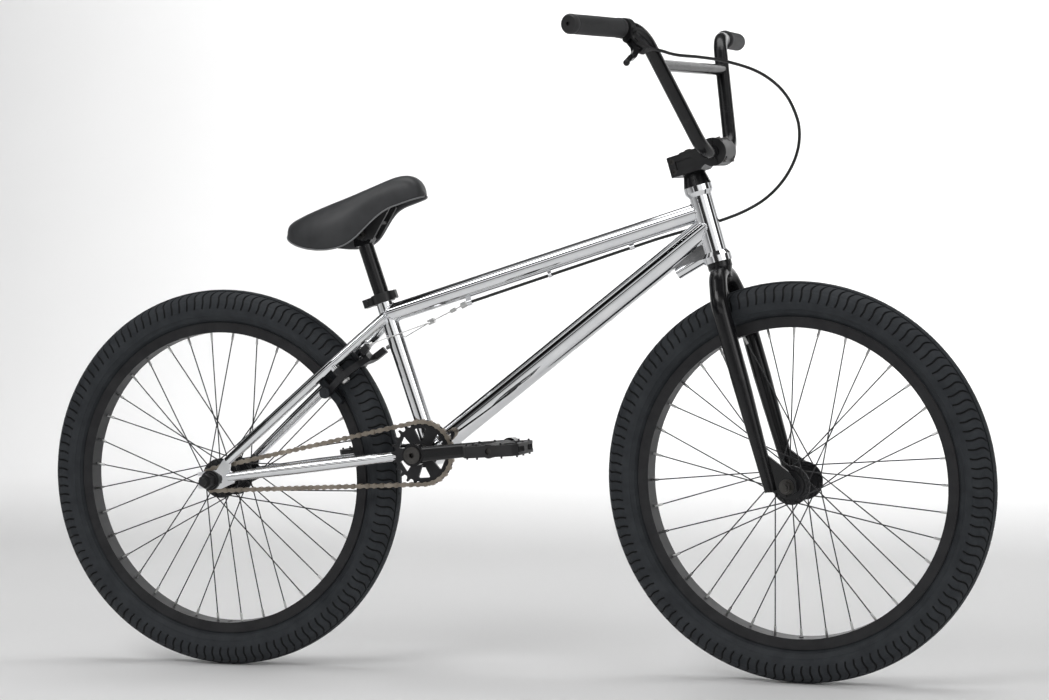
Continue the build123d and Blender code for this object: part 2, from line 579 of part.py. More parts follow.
with BuildPart() as pedal_axles:
    for s_ in (-1, 1):
        q = pedal_point(s_, 0)
        cyl((q.X, s_ * 72.5, q.Z), (q.X, s_ * 90.2, q.Z), 7.15)
        cyl((q.X, s_ * 90.2, q.Z), (q.X, s_ * 94.5, q.Z), 9.0)
        cyl((q.X, s_ * 94.5, q.Z), (q.X, s_ * 186.0, q.Z), 5.0)
keep("pedal_axles", pedal_axles.part)


def pedal_shape(side):
    q = pedal_point(side, 0)
    tilt = radians(3.0)
    xd = Vector(cos(tilt), 0, sin(tilt))
    zd = Vector(-sin(tilt), 0, cos(tilt))
    yc = side * (95.5 + 48.0)
    mid = Vector(q.X, yc, q.Z)
    base = Plane(origin=mid - zd * 9.0, x_dir=xd, z_dir=zd)
    with BuildSketch(base) as outline:
        with BuildLine():
            Polyline((-46, -34), (-38, -47), (38, -47), (46, -34), (46, 34), (38, 47), (-38, 47), (-46, 34), close=True)
        make_face()
        fillet(outline.vertices(), 3.5)
        for sx in (-1, 1):
            with Locations((sx * 27.0, -22.5), (sx * 27.0, 22.5)):
                RectangleRounded(25, 33, 4, mode=Mode.SUBTRACT)
        with Locations((0, -43.0), (0, 43.0)):
            RectangleRounded(20, 4.0, 1.5, mode=Mode.SUBTRACT)
    extrude(outline.sketch, amount=18.0)
    # barrel round the axle
    cyl(mid + Vector(0, -46, 0), mid + Vector(0, 46, 0), 11.0)
    cyl(mid + Vector(0, -60, 0), mid + Vector(0, 60, 0), 5.08, mode=Mode.SUBTRACT)
    # windows through the front and rear rails
    with BuildSketch(Plane(origin=mid - xd * 60, x_dir=(0, 1, 0), z_dir=xd)) as rail:
        with Locations((-22.5, 0), (22.5, 0)):
            RectangleRounded(29, 9.0, 3)
    extrude(rail.sketch, amount=36, mode=Mode.SUBTRACT)
    extrude(rail.sketch.moved(Location(tuple(xd * 84))), amount=36, mode=Mode.SUBTRACT)
    # moulded grip pins, top and bottom
    for px, py in ((-41, -30), (-41, 0), (-41, 30), (41, -30), (41, 0), (41, 30), (-20, -43), (20, -43), (-20, 43), (20, 43)):
        g = mid + xd * px + Vector(0, py, 0)
        cyl(g - zd * 12.0, g + zd * 12.0, 1.6)


with BuildPart() as pedal_right:
    pedal_shape(-1)
keep("pedal_right", pedal_right.part)
with BuildPart() as pedal_left:
    pedal_shape(1)
keep("pedal_left", pedal_left.part)

# ================================================================= wheels
def wheel_point(cx, r, a, y):
    return Vector(cx + r * cos(a), y, AXLE_Z + r * sin(a))


def tyre_shape(cx):
    with BuildSketch(Plane(origin=(cx, 0, AXLE_Z), x_dir=(1, 0, 0), z_dir=(0, 0, 1))) as s:
        with Locations((AXLE_Z - TYRE_SECTION, 0)):
            Circle(TYRE_SECTION)
            Circle(TYRE_INNER, mode=Mode.SUBTRACT)
        with Locations((262, 0)):
            Rectangle(20, 23.4, mode=Mode.SUBTRACT)
        with Locations((258.9, 12.5), (258.9, -12.5)):
            Rectangle(9.8, 2.2)
    revolve(s.sketch, axis=Axis((cx, 0, AXLE_Z), (0, 1, 0)))


def rim_shape(cx):
    revolved(cx, [(RIM_IN, RIM_OUT, -RIM_HALF, RIM_HALF)],
             [(253.7, 260.0, -14.0, 14.0), (245.4, 252.0, -13.4, 13.4)])
    # valve hole
    cyl((cx, 0, AXLE_Z - 235), (cx, 0, AXLE_Z - 258), 4.4, mode=Mode.SUBTRACT)


def inner_tube_shape(cx):
    with BuildSketch(Plane(origin=(cx, 0, AXLE_Z), x_dir=(1, 0, 0), z_dir=(0, 0, 1))) as s:
        with Locations((AXLE_Z - TYRE_SECTION, 0)):
            Circle(TYRE_INNER - 0.5)
            Circle(TYRE_INNER - 1.6, mode=Mode.SUBTRACT)
    revolve(s.sketch, axis=Axis((cx, 0, AXLE_Z), (0, 1, 0)))
    cyl((cx, 0, AXLE_Z - 207), (cx, 0, AXLE_Z - 261.4), 3.9)
    cyl((cx, 0, AXLE_Z - 203), (cx, 0, AXLE_Z - 219), 4.6)
    cyl((cx, 0, AXLE_Z - 240.6), (cx, 0, AXLE_Z - 242.6), 6.0)


def spoke_ends(cx, hole_r, right_y, left_y, phase):
    """Three-cross lacing, 36 spokes: hub end, rim end of each."""
    out = []
    for side, fy, shift in ((-1, right_y, 0.0), (1, left_y, 10.0)):
        for j in range(18):
            lead = 1 if j % 2 == 0 else -1
            a0 = radians(20 * j + shift + phase)
            a1 = radians(20 * j + shift + phase + lead * 60)
            # heads alternate: a spoke lying outside the flange has its head inside
            y0 = fy + side * (4.0 if lead > 0 else -2.5)
            y1 = fy - side * (2.6 if lead > 0 else -2.6)
            out.append((wheel_point(cx, hole_r, a0, y0), wheel_point(cx, RIM_IN - 0.4, a1, side * 1.6),
                        wheel_point(cx, hole_r, a0, y1), Vector(0, -side * lead, 0)))
    return out


def spokes_shape(ends):
    for a, b, head, out in ends:
        u = (b - a).normalized()
        cyl(a, b - u * 13.2, 1.0)
        cyl(a - out * 1.0, head, 1.05)
        cyl(head - out * 0.9, head + out * 0.6, 1.9)


def nipples_shape(ends):
    for a, b, head, out in ends:
        u = (b - a).normalized()
        cyl(b - u * 13.0, b, 2.0)


def drill_flanges(ends):
    for a, b, head, out in ends:
        cyl(a - out * 3, head + out * 3, 1.25, mode=Mode.SUBTRACT)


F_ENDS = spoke_ends(XF, 26.0, -33.0, 33.0, 0.0)
R_ENDS = spoke_ends(XR, 28.0, -21.0, 34.0, 5.0)

with BuildPart() as front_tyre:
    tyre_shape(XF)
keep("front_tyre", front_tyre.part, steer=True)
with BuildPart() as rear_tyre:
    tyre_shape(XR)
keep("rear_tyre", rear_tyre.part)
with BuildPart() as front_rim:
    rim_shape(XF)
keep("front_rim", front_rim.part, steer=True)
with BuildPart() as rear_rim:
    rim_shape(XR)
keep("rear_rim", rear_rim.part)
with BuildPart() as front_inner_tube:
    inner_tube_shape(XF)
keep("front_inner_tube", front_inner_tube.part, steer=True)
with BuildPart() as rear_inner_tube:
    inner_tube_shape(XR)
keep("rear_inner_tube", rear_inner_tube.part)
with BuildPart() as front_spokes:
    spokes_shape(F_ENDS)
keep("front_spokes", front_spokes.part, steer=True)
with BuildPart() as rear_spokes:
    spokes_shape(R_ENDS)
keep("rear_spokes", rear_spokes.part)
with BuildPart() as front_nipples:
    nipples_shape(F_ENDS)
keep("front_nipples", front_nipples.part, steer=True)
with BuildPart() as rear_nipples:
    nipples_shape(R_ENDS)
keep("rear_nipples", rear_nipples.part)

# hubs: a waisted shell with two drilled flanges and a pressed bearing at each end
with BuildPart() as front_hub:
    revolved(XF, [(12.6, 15.5, -43.5, 43.5), (12.6, 22.0, -38.0, -29.0), (12.6, 22.0, 29.0, 38.0),
                  (12.6, 30.5, -34.2, -31.8), (12.6, 30.5, 31.8, 34.2)])
    for fy in (-33.0, 33.0):
        revolved(XF, [(5.1, 12.6, fy - 9.5, fy - 2.5) if fy < 0 else (5.1, 12.6, fy + 2.5, fy + 9.5)])
    drill_flanges(F_ENDS)
keep("front_hub", front_hub.part, steer=True)

with BuildPart() as rear_hub:
    revolved(XR, [(14.0, 18.0, -24.0, 47.0), (14.0, 25.0, 30.0, 40.0), (14.0, 33.0, 32.8, 35.2),
                  (14.0, 33.0, -22.2, -19.8), (14.0, 25.0, -24.0, -15.0)])
    revolved(XR, [(7.08, 14.0, 38.5, 46.5)])
    revolved(XR, [(7.08, 14.0, -23.5, -15.5)])
    drill_flanges(R_ENDS)
keep("rear_hub", rear_hub.part)

with BuildPart() as driver:
    cg = toothed(COG_TEETH, R2, XR, AXLE_Z, COG_PHASE, 2.9, 7.4)
    extrude(cg.moved(Location((0, -(CHAINLINE - 1.35), 0))), amount=2.7)
    ring((XR, -24.4, AXLE_Z), (XR, -50.0, AXLE_Z), 13.6, 7.08)
    ring((XR, -24.4, AXLE_Z), (XR, -38.5, AXLE_Z), 17.0, 7.08)
    cyl((XR, -20, AXLE_Z), (XR, -60, AXLE_Z), 7.08, mode=Mode.SUBTRACT)
keep("driver", driver.part)

with BuildPart() as rear_axle_set:
    cyl((XR, -92.0, AXLE_Z), (XR, 92.0, AXLE_Z), 7.0)
    cone((XR, 47.6, AXLE_Z), (XR, 54.7, AXLE_Z), 9.5, 12.5)
    cone((XR, -50.6, AXLE_Z), (XR, -54.7, AXLE_Z), 10.0, 12.5)
    for s_ in (-1, 1):
        # washer and flanged nut, clamped against the dropout's outer face
        ring((XR, s_ * 61.2, AXLE_Z), (XR, s_ * 63.6, AXLE_Z), 16.5, 6.9)
        cyl((XR, s_ * 63.6, AXLE_Z), (XR, s_ * 67.0, AXLE_Z), 13.6)
        hexagon((XR, s_ * 67.0, AXLE_Z), (XR, s_ * 82.0, AXLE_Z), 21.0)
keep("rear_axle_set", rear_axle_set.part)

with BuildPart() as front_axle_set:
    cyl((XF, -70.0, AXLE_Z), (XF, 70.0, AXLE_Z), 4.76)
    cone((XF, 44.2, AXLE_Z), (XF, 49.8, AXLE_Z), 7.5, 10.5)
    cone((XF, -44.2, AXLE_Z), (XF, -49.8, AXLE_Z), 7.5, 10.5)
    for s_ in (-1, 1):
        ring((XF, s_ * 55.2, AXLE_Z), (XF, s_ * 57.0, AXLE_Z), 12.0, 4.7)
        cyl((XF, s_ * 57.0, AXLE_Z), (XF, s_ * 59.0, AXLE_Z), 10.2)
        hexagon((XF, s_ * 59.0, AXLE_Z), (XF, s_ * 65.5, AXLE_Z), 15.0)
keep("front_axle_set", front_axle_set.part, steer=True)

# ================================================================= fork, stem and bars
with BuildPart() as fork:
    cyl(st(330, 0), st(534.0, 0), 14.3)
    cyl(st(348.5, 0), st(356.9, 0), 19.5)
    cone(st(338, 0), st(348.5, 0), 15.5, 19.5)
    for side in (-1, 1):
        foot, bend = st(-8, 0, side * 55.0), st(292, 0, side * 50.6)
        knee = between(foot, bend, 0.59)
        cone(foot, knee, 9.6, 14.0)
        tube_path([knee, bend, st(340, 0, side * 22.0), st(340, 0, 0)], [58, 34], 14.0)
        with BuildSketch(Plane(origin=st(0, 0, side * 50.0), x_dir=N, z_dir=(0, side, 0))) as drop:
            k = 1 if side < 0 else -1      # keeps the plate's outline the same way up on both sides
            with BuildLine():
                Polyline((-7, k * -8), (-7, k * 46), (6.5, k * 52), (37, k * 13), (43.6, k * -2), (40, k * -18),
                         (27, k * -24.5), (14, k * -20), (8, k * -11), close=True)
            make_face()
            fillet(drop.vertices(), 2.5)
        extrude(drop.sketch, amount=5.0)
    # hollow legs and steerer
    cyl(st(360, 0), st(536, 0), 12.7, mode=Mode.SUBTRACT)
    for side in (-1, 1):
        foot, bend = st(-8, 0, side * 55.0), st(292, 0, side * 50.6)
        knee = between(foot, bend, 0.59)
        cone(between(foot, bend, 0.04), knee, 8.2, 12.8, mode=Mode.SUBTRACT)
        cyl(knee, between(foot, bend, 0.93), 12.8, mode=Mode.SUBTRACT)
        # axle slot, open downwards
        q = st(-7.17, 26.76, side * 46.0)
        cyl(q, q + Vector(0, side * 14, 0), 5.0, mode=Mode.SUBTRACT)
        with BuildSketch(Plane(origin=st(-24, 26.76, side * 46.0), x_dir=N, z_dir=(0, side, 0))) as slot:
            Rectangle(10.0, 33.6)
        extrude(slot.sketch, amount=14, mode=Mode.SUBTRACT)
keep("fork", fork.part, steer=True)

with BuildPart() as headset_cap:
    cone(st(480.9, 0), st(502.2, 0), 22.4, 17.2)
    cyl(st(470, 0), st(510, 0), 14.33, mode=Mode.SUBTRACT)
keep("headset_cap", headset_cap.part, steer=True)

CLAMP_S, CLAMP_F, CLAMP_R = 522.7, 46.8, 22.2
CC = st(CLAMP_S, CLAMP_F)
SIDE = Plane(origin=st(0, 0, 24.0), x_dir=N, z_dir=(0, -1, 0))     # local x forward, local y up the axis
with BuildPart() as stem:
    with BuildSketch(SIDE) as prof:
        with BuildLine():
            Polyline((-29.4, 502.4), (19.5, 502.4), (30.0, 508.5), (52.0, 503.0), (52.0, 541.0), (30.0, 540.0), (15.5, 535.2), (-29.4, 535.2), close=True)
        make_face()
        with Locations((CLAMP_F, CLAMP_S)):
            Circle(CLAMP_R)
    extrude(prof.sketch, amount=48.0)
    fillet(stem.edges().filter_by(Axis.Y).group_by(Axis.X)[0], 2.0)
    # the faceplate takes the front of the clamp
    with BuildSketch(Plane(origin=st(CLAMP_S, CLAMP_F + 3.0), x_dir=(0, 1, 0), z_dir=N)) as front:
        Rectangle(80, 80)
    extrude(front.sketch, amount=60, mode=Mode.SUBTRACT)
    cyl(CC + Vector(0, -40, 0), CC + Vector(0, 40, 0), BAR_R + 0.02, mode=Mode.SUBTRACT)
    cyl(st(490, 0), st(545, 0), 14.33, mode=Mode.SUBTRACT)
    for y_, d_ in ((24.0, -2.4), (-24.0, 2.4)):
        with BuildSketch(Plane(origin=st(0, 0, y_), x_dir=N, z_dir=(0, -1, 0))) as pocket:
            with Locations((-3.0, 518.8)):
                RectangleRounded(29.0, 13.5, 2.0)
        extrude(pocket.sketch, amount=-d_, mode=Mode.SUBTRACT)
    # pinch slot behind the steerer, and its two cross bolts
    with BuildSketch(Plane(origin=st(519, -22.5), x_dir=N, z_dir=D)) as pinch:
        Rectangle(18.0, 2.2)
    extrude(pinch.sketch, amount=20, both=True, mode=Mode.SUBTRACT)
    for s_ in (510.5, 527.0):
        cyl(st(s_, -22.8, -25), st(s_, -22.8, 25), 2.6, mode=Mode.SUBTRACT)
        cyl(st(s_, -22.8, -25), st(s_, -22.8, -18), 4.4, mode=Mode.SUBTRACT)
    for s_ in (CLAMP_S - 16.3, CLAMP_S + 16.3):
        for y_ in (-17.5, 17.5):
            cyl(st(s_, 34, y_), st(s_, 60, y_), 2.6, mode=Mode.SUBTRACT)
keep("stem", stem.part, steer=True)

with BuildPart() as stem_faceplate:
    with BuildSketch(SIDE) as fp:
        with Locations((CLAMP_F, CLAMP_S)):
            Circle(CLAMP_R)
    extrude(fp.sketch, amount=48.0)
    with BuildSketch(Plane(origin=st(CLAMP_S, CLAMP_F + 4.2), x_dir=(0, 1, 0), z_dir=N)) as back:
        Rectangle(80, 80)
    extrude(back.sketch, amount=-60, mode=Mode.SUBTRACT)
    cyl(CC + Vector(0, -40, 0), CC + Vector(0, 40, 0), BAR_R + 0.02, mode=Mode.SUBTRACT)
    for s_ in (CLAMP_S - 16.3, CLAMP_S + 16.3):
        for y_ in (-17.5, 17.5):
            cyl(st(s_, 40, y_), st(s_, 80, y_), 2.6, mode=Mode.SUBTRACT)
            cyl(st(s_, 57.5, y_), st(s_, 80, y_), 4.4, mode=Mode.SUBTRACT)
keep("stem_faceplate", stem_faceplate.part, steer=True)

with BuildPart() as stem_bolts:
    for s_ in (510.5, 527.0):
        cyl(st(s_, -22.8, -22.5), st(s_, -22.8, -18.1), 4.2)
        cyl(st(s_, -22.8, -18.2), st(s_, -22.8, 20), 2.5)
        hexagon(st(s_, -22.8, -23.5), st(s_, -22.8, -20), 4.0, mode=Mode.SUBTRACT)
    for s_ in (CLAMP_S - 16.3, CLAMP_S + 16.3):
        for y_ in (-17.5, 17.5):
            cyl(st(s_, 57.6, y_), st(s_, 62.5, y_), 4.2)
            cyl(st(s_, 36, y_), st(s_, 57.7, y_), 2.5)
            hexagon(st(s_, 60.0, y_), st(s_, 63.5, y_), 4.0, mode=Mode.SUBTRACT)
    # top cap and its bolt
    cyl(st(535.4, 0), st(538.0, 0), 15.2)
    cyl(st(538.0, 0), st(540.5, 0), 5.0)
    hexagon(st(538.6, 0), st(542.0, 0), 5.0, mode=Mode.SUBTRACT)
keep("stem_bolts", stem_bolts.part, steer=True)

# handlebar: centre, two legs, two grips, one crossbar
BETA, RISE, HALF_LOW, HALF_TOP, HALF_W = 16.45, 192.8, 63.5, 176.0, 367.0
BACK, UPSWEEP = 10.1, 3.9
UB = Vector(-sin(radians(BETA)), 0, cos(radians(BETA)))
NB = Vector(cos(radians(BETA)), 0, sin(radians(BETA)))
OUT = HALF_W - HALF_TOP


def bar_points(side):
    a = CC + Vector(0, side * HALF_LOW, 0)
    b = CC + UB * RISE + Vector(0, side * HALF_TOP, 0)
    e = b + Vector(0, side * OUT, 0) - NB * (OUT * tan(radians(BACK))) + UB * (OUT * tan(radians(UPSWEEP)))
    return a, b, e


AR, BR, ER_ = bar_points(-1)
AL, BLF, EL = bar_points(1)
CROSS = 0.715
with BuildPart() as handlebar:
    radii = [58, 50, 50, 58]
    cyl(AR + (BR - AR) * CROSS, AL + (BLF - AL) * CROSS, 9.0)
    tube_path([ER_, BR, AR, AL, BLF, EL], radii, BAR_R)
    tube_path([ER_ + (BR - ER_) * -0.01, BR, AR, AL, BLF, EL + (EL - BLF) * 0.01], radii, BAR_BORE, mode=Mode.SUBTRACT)
keep("handlebar", handlebar.part, steer=True)

GRIP = 138.0
with BuildPart() as grips:
    for b, e in ((BR, ER_), (BLF, EL)):
        u = (e - b).normalized()
        cyl(e - u * GRIP, e + u * 0.5, 14.4)
        cyl(e - u * (GRIP + 1), e + u * 1.0, BAR_R + 0.02, mode=Mode.SUBTRACT)
keep("grips", grips.part, steer=True)

with BuildPart() as bar_end_plugs:
    for b, e in ((BR, ER_), (BLF, EL)):
        u = (e - b).normalized()
        cone(e + u * 0.7, e + u * 4.2, 14.4, 12.2)
        cyl(e - u * 18.0, e + u * 0.7, 9.3)
        hexagon(e + u * 0.5, e + u * 5, 6.0, mode=Mode.SUBTRACT)
keep("bar_end_plugs", bar_end_plugs.part, steer=True)

# ---------------------------------------------------------------- brake lever (right hand)
EU = (ER_ - BR).normalized()                     # outboard along the grip
LC = ER_ - EU * (GRIP + 11.0)                    # middle of the lever's clamp
q0 = NB * cos(radians(66)) - UB * sin(radians(66))
QD = (q0 - EU * q0.dot(EU)).normalized()         # from the bar towards the lever
WD = EU.cross(QD)


def lv(e, q, w=0.0):
    return LC + EU * e + QD * q + WD * w


LP = Plane(origin=tuple(LC - WD * 7.0), x_dir=tuple(EU), z_dir=tuple(WD))
with BuildPart() as brake_lever_bracket:
    ring(lv(-6.5, 0), lv(6.5, 0), 15.6, BAR_R + 0.02)
    with BuildSketch(LP) as body:
        with BuildLine():
            Polyline((-7, 13), (6, 13), (13, 24), (12, 37), (-4, 46), (-16, 46), (-16, 34), (-9, 26), close=True)
        make_face()
        fillet(body.vertices(), 2.5)
    extrude(body.sketch, amount=14)
    cyl(lv(-7, 0), lv(7, 0), BAR_R + 0.02, mode=Mode.SUBTRACT)
    # slot for the blade, adjusting barrel for the housing
    with BuildSketch(Plane(origin=tuple(LC - WD * 4.3), x_dir=tuple(EU), z_dir=tuple(WD))) as gap:
        with Locations((9.5, 34.5)):
            Rectangle(21, 23)
    extrude(gap.sketch, amount=8.6, mode=Mode.SUBTRACT)
    cyl(lv(-15.5, 40), lv(-25, 40), 4.6)
    cyl(lv(-25, 40), lv(-31, 40), 3.7)
    cyl(lv(2, 40), lv(-40, 40), 1.2, mode=Mode.SUBTRACT)
    cyl(lv(-27, 40), lv(-40, 40), 2.65, mode=Mode.SUBTRACT)
    cyl(lv(6.5, 30, -12), lv(6.5, 30, 12), 2.45, mode=Mode.SUBTRACT)
    # pivot bolt, a separate solid
    cyl(lv(6.5, 30, -8.6), lv(6.5, 30, 8.6), 2.4)
    cyl(lv(6.5, 30, 7.1), lv(6.5, 30, 9.6), 4.2)
    # clamp bolt lug
    cyl(lv(0, 13.5, -13), lv(0, 13.5, 13), 4.0)
    cyl(lv(-8, 0), lv(8, 0), BAR_R + 0.02, mode=Mode.SUBTRACT)
keep("brake_lever_bracket", brake_lever_bracket.part, steer=True)

with BuildPart() as brake_lever_blade:
    with BuildSketch(Plane(origin=tuple(LC - WD * 3.7), x_dir=tuple(EU), z_dir=tuple(WD))) as blade:
        with BuildLine():
            Polyline((2.4, 25.8), (10.8, 25.6), (16, 33), (26, 45), (40, 55), (56, 60), (68, 66), (73, 72),
                     (67, 74), (53, 67), (37, 63), (22, 54), (11, 43.5), (1.5, 42.5), close=True)
        make_face()
        fillet(blade.vertices(), 1.6)
    extrude(blade.sketch, amount=7.4)
    with Locations(tuple(lv(71.0, 72.5))):
        Sphere(5.0)
    cyl(lv(6.5, 30, -12), lv(6.5, 30, 12), 2.45, mode=Mode.SUBTRACT)
keep("brake_lever_blade", brake_lever_blade.part, steer=True)

# ---------------------------------------------------------------- rear brake
with BuildPart() as brake_pivots:
    for side in (-1, 1):
        # stud screwed into the stay's boss, washer and domed bolt head
        cyl(bk(side * PIVOT_Y, PIVOT_R, 11.7), bk(side * PIVOT_Y, PIVOT_R, 35.5), 3.95)
        cone(bk(side * PIVOT_Y, PIVOT_R, 35.0), bk(side * PIVOT_Y, PIVOT_R, 38.5), 8.0, 6.0)
        hexagon(bk(side * PIVOT_Y, PIVOT_R, 36.5), bk(side * PIVOT_Y, PIVOT_R, 40), 5.0, mode=Mode.SUBTRACT)
keep("brake_pivots", brake_pivots.part)

ARM_F = {-1: (23.0, 34.0), 1: (12.2, 22.4)}       # the two arms pass one ahead of the other


def brake_arm_shape(side):
    f0, f1 = ARM_F[side]
    plane = Plane(origin=bk(0, 0, f0), x_dir=(0, 1, 0), z_dir=tuple(EF))
    k = 1 if Vector(0, 1, 0).cross(ER).dot(EF) > 0 else -1
    plane = Plane(origin=bk(0, 0, f0), x_dir=(0, 1, 0), z_dir=tuple(EF * k))
    amt = (f1 - f0) * k
    with BuildSketch(plane) as arm:
        with BuildLine():
            Polyline((side * 33.5, 318), (side * 50.5, 296), (side * 51.5, 280), (side * 47.5, 262), (side * 47.0, 241),
                     (side * 36.5, 241), (side * 36.0, 262), (side * 32.8, 282), (side * 33.0, 300), (side * 27.5, 316.5),
                     (side * -14, 324.5), (side * -25, 331), (side * -34, 350), (side * -24, 350), (side * -15, 333),
                     (side * 14, 332), close=True)
        make_face()
        fillet(arm.vertices(), 1.8)
    extrude(arm.sketch, amount=amt)
    # full-length pivot sleeve
    cyl(bk(side * PIVOT_Y, PIVOT_R, 11.9), bk(side * PIVOT_Y, PIVOT_R, 34.6), 8.2)
    cyl(bk(side * PIVOT_Y, PIVOT_R, 5), bk(side * PIVOT_Y, PIVOT_R, 50), 4.0, mode=Mode.SUBTRACT)
    # eye for the pad's post
    cyl(bk(side * 34.5, 249, (f0 + f1) / 2), bk(side * 48.5, 249, (f0 + f1) / 2), 7.5)
    cyl(bk(side * 30.0, 249, (f0 + f1) / 2), bk(side * 60.0, 249, (f0 + f1) / 2), 3.3, mode=Mode.SUBTRACT)


with BuildPart() as brake_arm_right:
    brake_arm_shape(-1)
keep("brake_arm_right", brake_arm_right.part)
with BuildPart() as brake_arm_left:
    brake_arm_shape(1)
keep("brake_arm_left", brake_arm_left.part)


def pad_shape(side):
    f0, f1 = ARM_F[side]
    fm = (f0 + f1) / 2
    with BuildSketch(Plane(origin=bk(side * 18.6, 249.5, 26.0), x_dir=tuple(EF), z_dir=(0, side, 0))) as shoe:
        RectangleRounded(54, 12, 3)
    extrude(shoe.sketch, amount=10.5)
    # post through the arm's eye, with its nut on the outside
    cyl(bk(side * 28.0, 249, fm), bk(side * 56.0, 249, fm), 3.2)
    ring(bk(side * 48.7, 249, fm), bk(side * 55.0, 249, fm), 8.6, 3.1)


with BuildPart() as brake_pad_right:
    pad_shape(-1)
keep("brake_pad_right", brake_pad_right.part)
with BuildPart() as brake_pad_left:
    pad_shape(1)
keep("brake_pad_left", brake_pad_left.part)

HANG = Vector(-114.5, 0, 571.0)
STOP_END = ROUTE_A - RUN * 6.2
WIRE = (STOP_END - HANG).normalized()
with BuildPart() as cable_hanger:
    with BuildSketch(Plane(origin=HANG - WIRE * 5, x_dir=(0, 1, 0), z_dir=tuple(WIRE))) as hb:
        RectangleRounded(11, 8, 2)
    extrude(hb.sketch, amount=11)
    with BuildSketch(Plane(origin=HANG - WIRE * 6, x_dir=(0, 1, 0), z_dir=tuple(WIRE))) as notch:
        Rectangle(14, 2.4)
    extrude(notch.sketch, amount=5, mode=Mode.SUBTRACT)
    cyl(HANG - WIRE * 10, HANG + WIRE * 12, 1.0, mode=Mode.SUBTRACT)
keep("cable_hanger", cable_hanger.part)

# bare wires: the pull wire from the stop to the hanger and the two straddle legs
with BuildPart() as brake_wire:
    cyl(HANG + WIRE * 6.3, STOP_END - WIRE * 10.8, 0.8)
    # adjusting barrel and lock nut in front of the stop
    ring(STOP_END - WIRE * 11.0, STOP_END - WIRE * 1.0, 4.9, 0.9)
    cyl(STOP_END - WIRE * 32.0, STOP_END - WIRE * 22.0, 3.1)
    for side in (-1, 1):
        f0, f1 = ARM_F[side]
        anchor = bk(side * -29.5, 354.0, (f0 + f1) / 2)
        near = HANG - WIRE * 7.0 + Vector(0, side * -2.2, 0)
        cyl(anchor, near, 0.8)
        u = (near - anchor).normalized()
        cyl(anchor, anchor + u * 5.0, 3.4)
keep("brake_wire", brake_wire.part)

LS = turned(lv(-27.2, 40))
LD = (turned(lv(-60, 40)) - LS).normalized()
ROUTE = [LS, LS + LD * 26, Vector(350, -165, 972.5), Vector(375.3, -115, 972.0), Vector(403.4, -55, 967.5),
         Vector(442.3, -5, 952.7), Vector(473.7, 22, 922.7), Vector(489.4, 35, 885.0), Vector(493.0, 40, 856.0),
         Vector(486.7, 42.5, 822.0), Vector(466.6, 43, 785.8), Vector(436.9, 42, 756.3), Vector(402, 38.0, 737.0),
         Vector(366, 31.5, 724.0), Vector(330, 21.0, 714.0), Vector(293, 8.5, 704.0), ROUTE_B + RUN * 24, ROUTE_A + RUN * 0.2]
with BuildPart() as brake_housing:
    rr = corner_radii(ROUTE)
    wire = tube_path(ROUTE, rr, 2.5)
keep("brake_housing", brake_housing.part)
print("housing radii", [round(r) for r in rr])
print("housing volume", round(brake_housing.part.volume, 1), "section x length", round(pi * 2.5 ** 2 * wire.length, 1), "length", round(wire.length))
print("housing route", [tuple(round(c, 1) for c in p) for p in ROUTE])
print("steer end", turned(ER_), "lever", turned(LC), "hinge", turned(lv(6.5, 30)), "WD", turned(LC + WD) - turned(LC))

for name, part in PARTS.items():
    export_step(part, "parts/" + name + ".step")
print(len(PARTS), "nodes")
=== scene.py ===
import bpy
import bmesh
import math
import random
from mathutils import Vector, Matrix


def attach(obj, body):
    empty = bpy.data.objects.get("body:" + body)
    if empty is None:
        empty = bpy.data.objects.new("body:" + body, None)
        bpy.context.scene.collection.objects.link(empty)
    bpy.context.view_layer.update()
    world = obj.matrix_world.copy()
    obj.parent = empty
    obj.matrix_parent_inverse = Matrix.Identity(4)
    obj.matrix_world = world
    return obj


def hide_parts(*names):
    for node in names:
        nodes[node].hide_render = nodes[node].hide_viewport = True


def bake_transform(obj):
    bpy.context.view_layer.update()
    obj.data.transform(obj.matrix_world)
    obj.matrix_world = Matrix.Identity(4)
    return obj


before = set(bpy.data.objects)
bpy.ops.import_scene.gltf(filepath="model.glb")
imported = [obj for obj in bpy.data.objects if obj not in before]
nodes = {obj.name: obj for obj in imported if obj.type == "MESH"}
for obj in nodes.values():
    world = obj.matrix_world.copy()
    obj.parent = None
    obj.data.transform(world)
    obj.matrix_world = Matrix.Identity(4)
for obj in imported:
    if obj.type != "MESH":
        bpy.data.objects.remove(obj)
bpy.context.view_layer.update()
random.seed(7)


# ---------------------------------------------------------------- camera
def make_camera():
    az, el, roll = map(math.radians, (18.9515, 2.4869, -1.2599))
    back = Vector((math.sin(az) * math.cos(el), -math.cos(az) * math.cos(el), math.sin(el)))
    right = Vector((math.cos(az), math.sin(az), 0.0))
    up = back.cross(right)
    r2 = right * math.cos(roll) + up * math.sin(roll)
    u2 = -right * math.sin(roll) + up * math.cos(roll)
    cam = bpy.data.cameras.new("camera")
    cam.sensor_fit = "HORIZONTAL"
    cam.sensor_width = 36.0
    cam.lens = 2627.7 * 36.0 / 1049.0
    cam.clip_end = 100.0
    cam.dof.use_dof = False
    ob = bpy.data.objects.new("camera", cam)
    m = Matrix((r2, u2, back)).transposed().to_4x4()
    m.translation = Vector((1.41384, -3.98908, 0.70655))
    ob.matrix_world = m
    bpy.context.scene.collection.objects.link(ob)
    bpy.context.scene.camera = ob


make_camera()


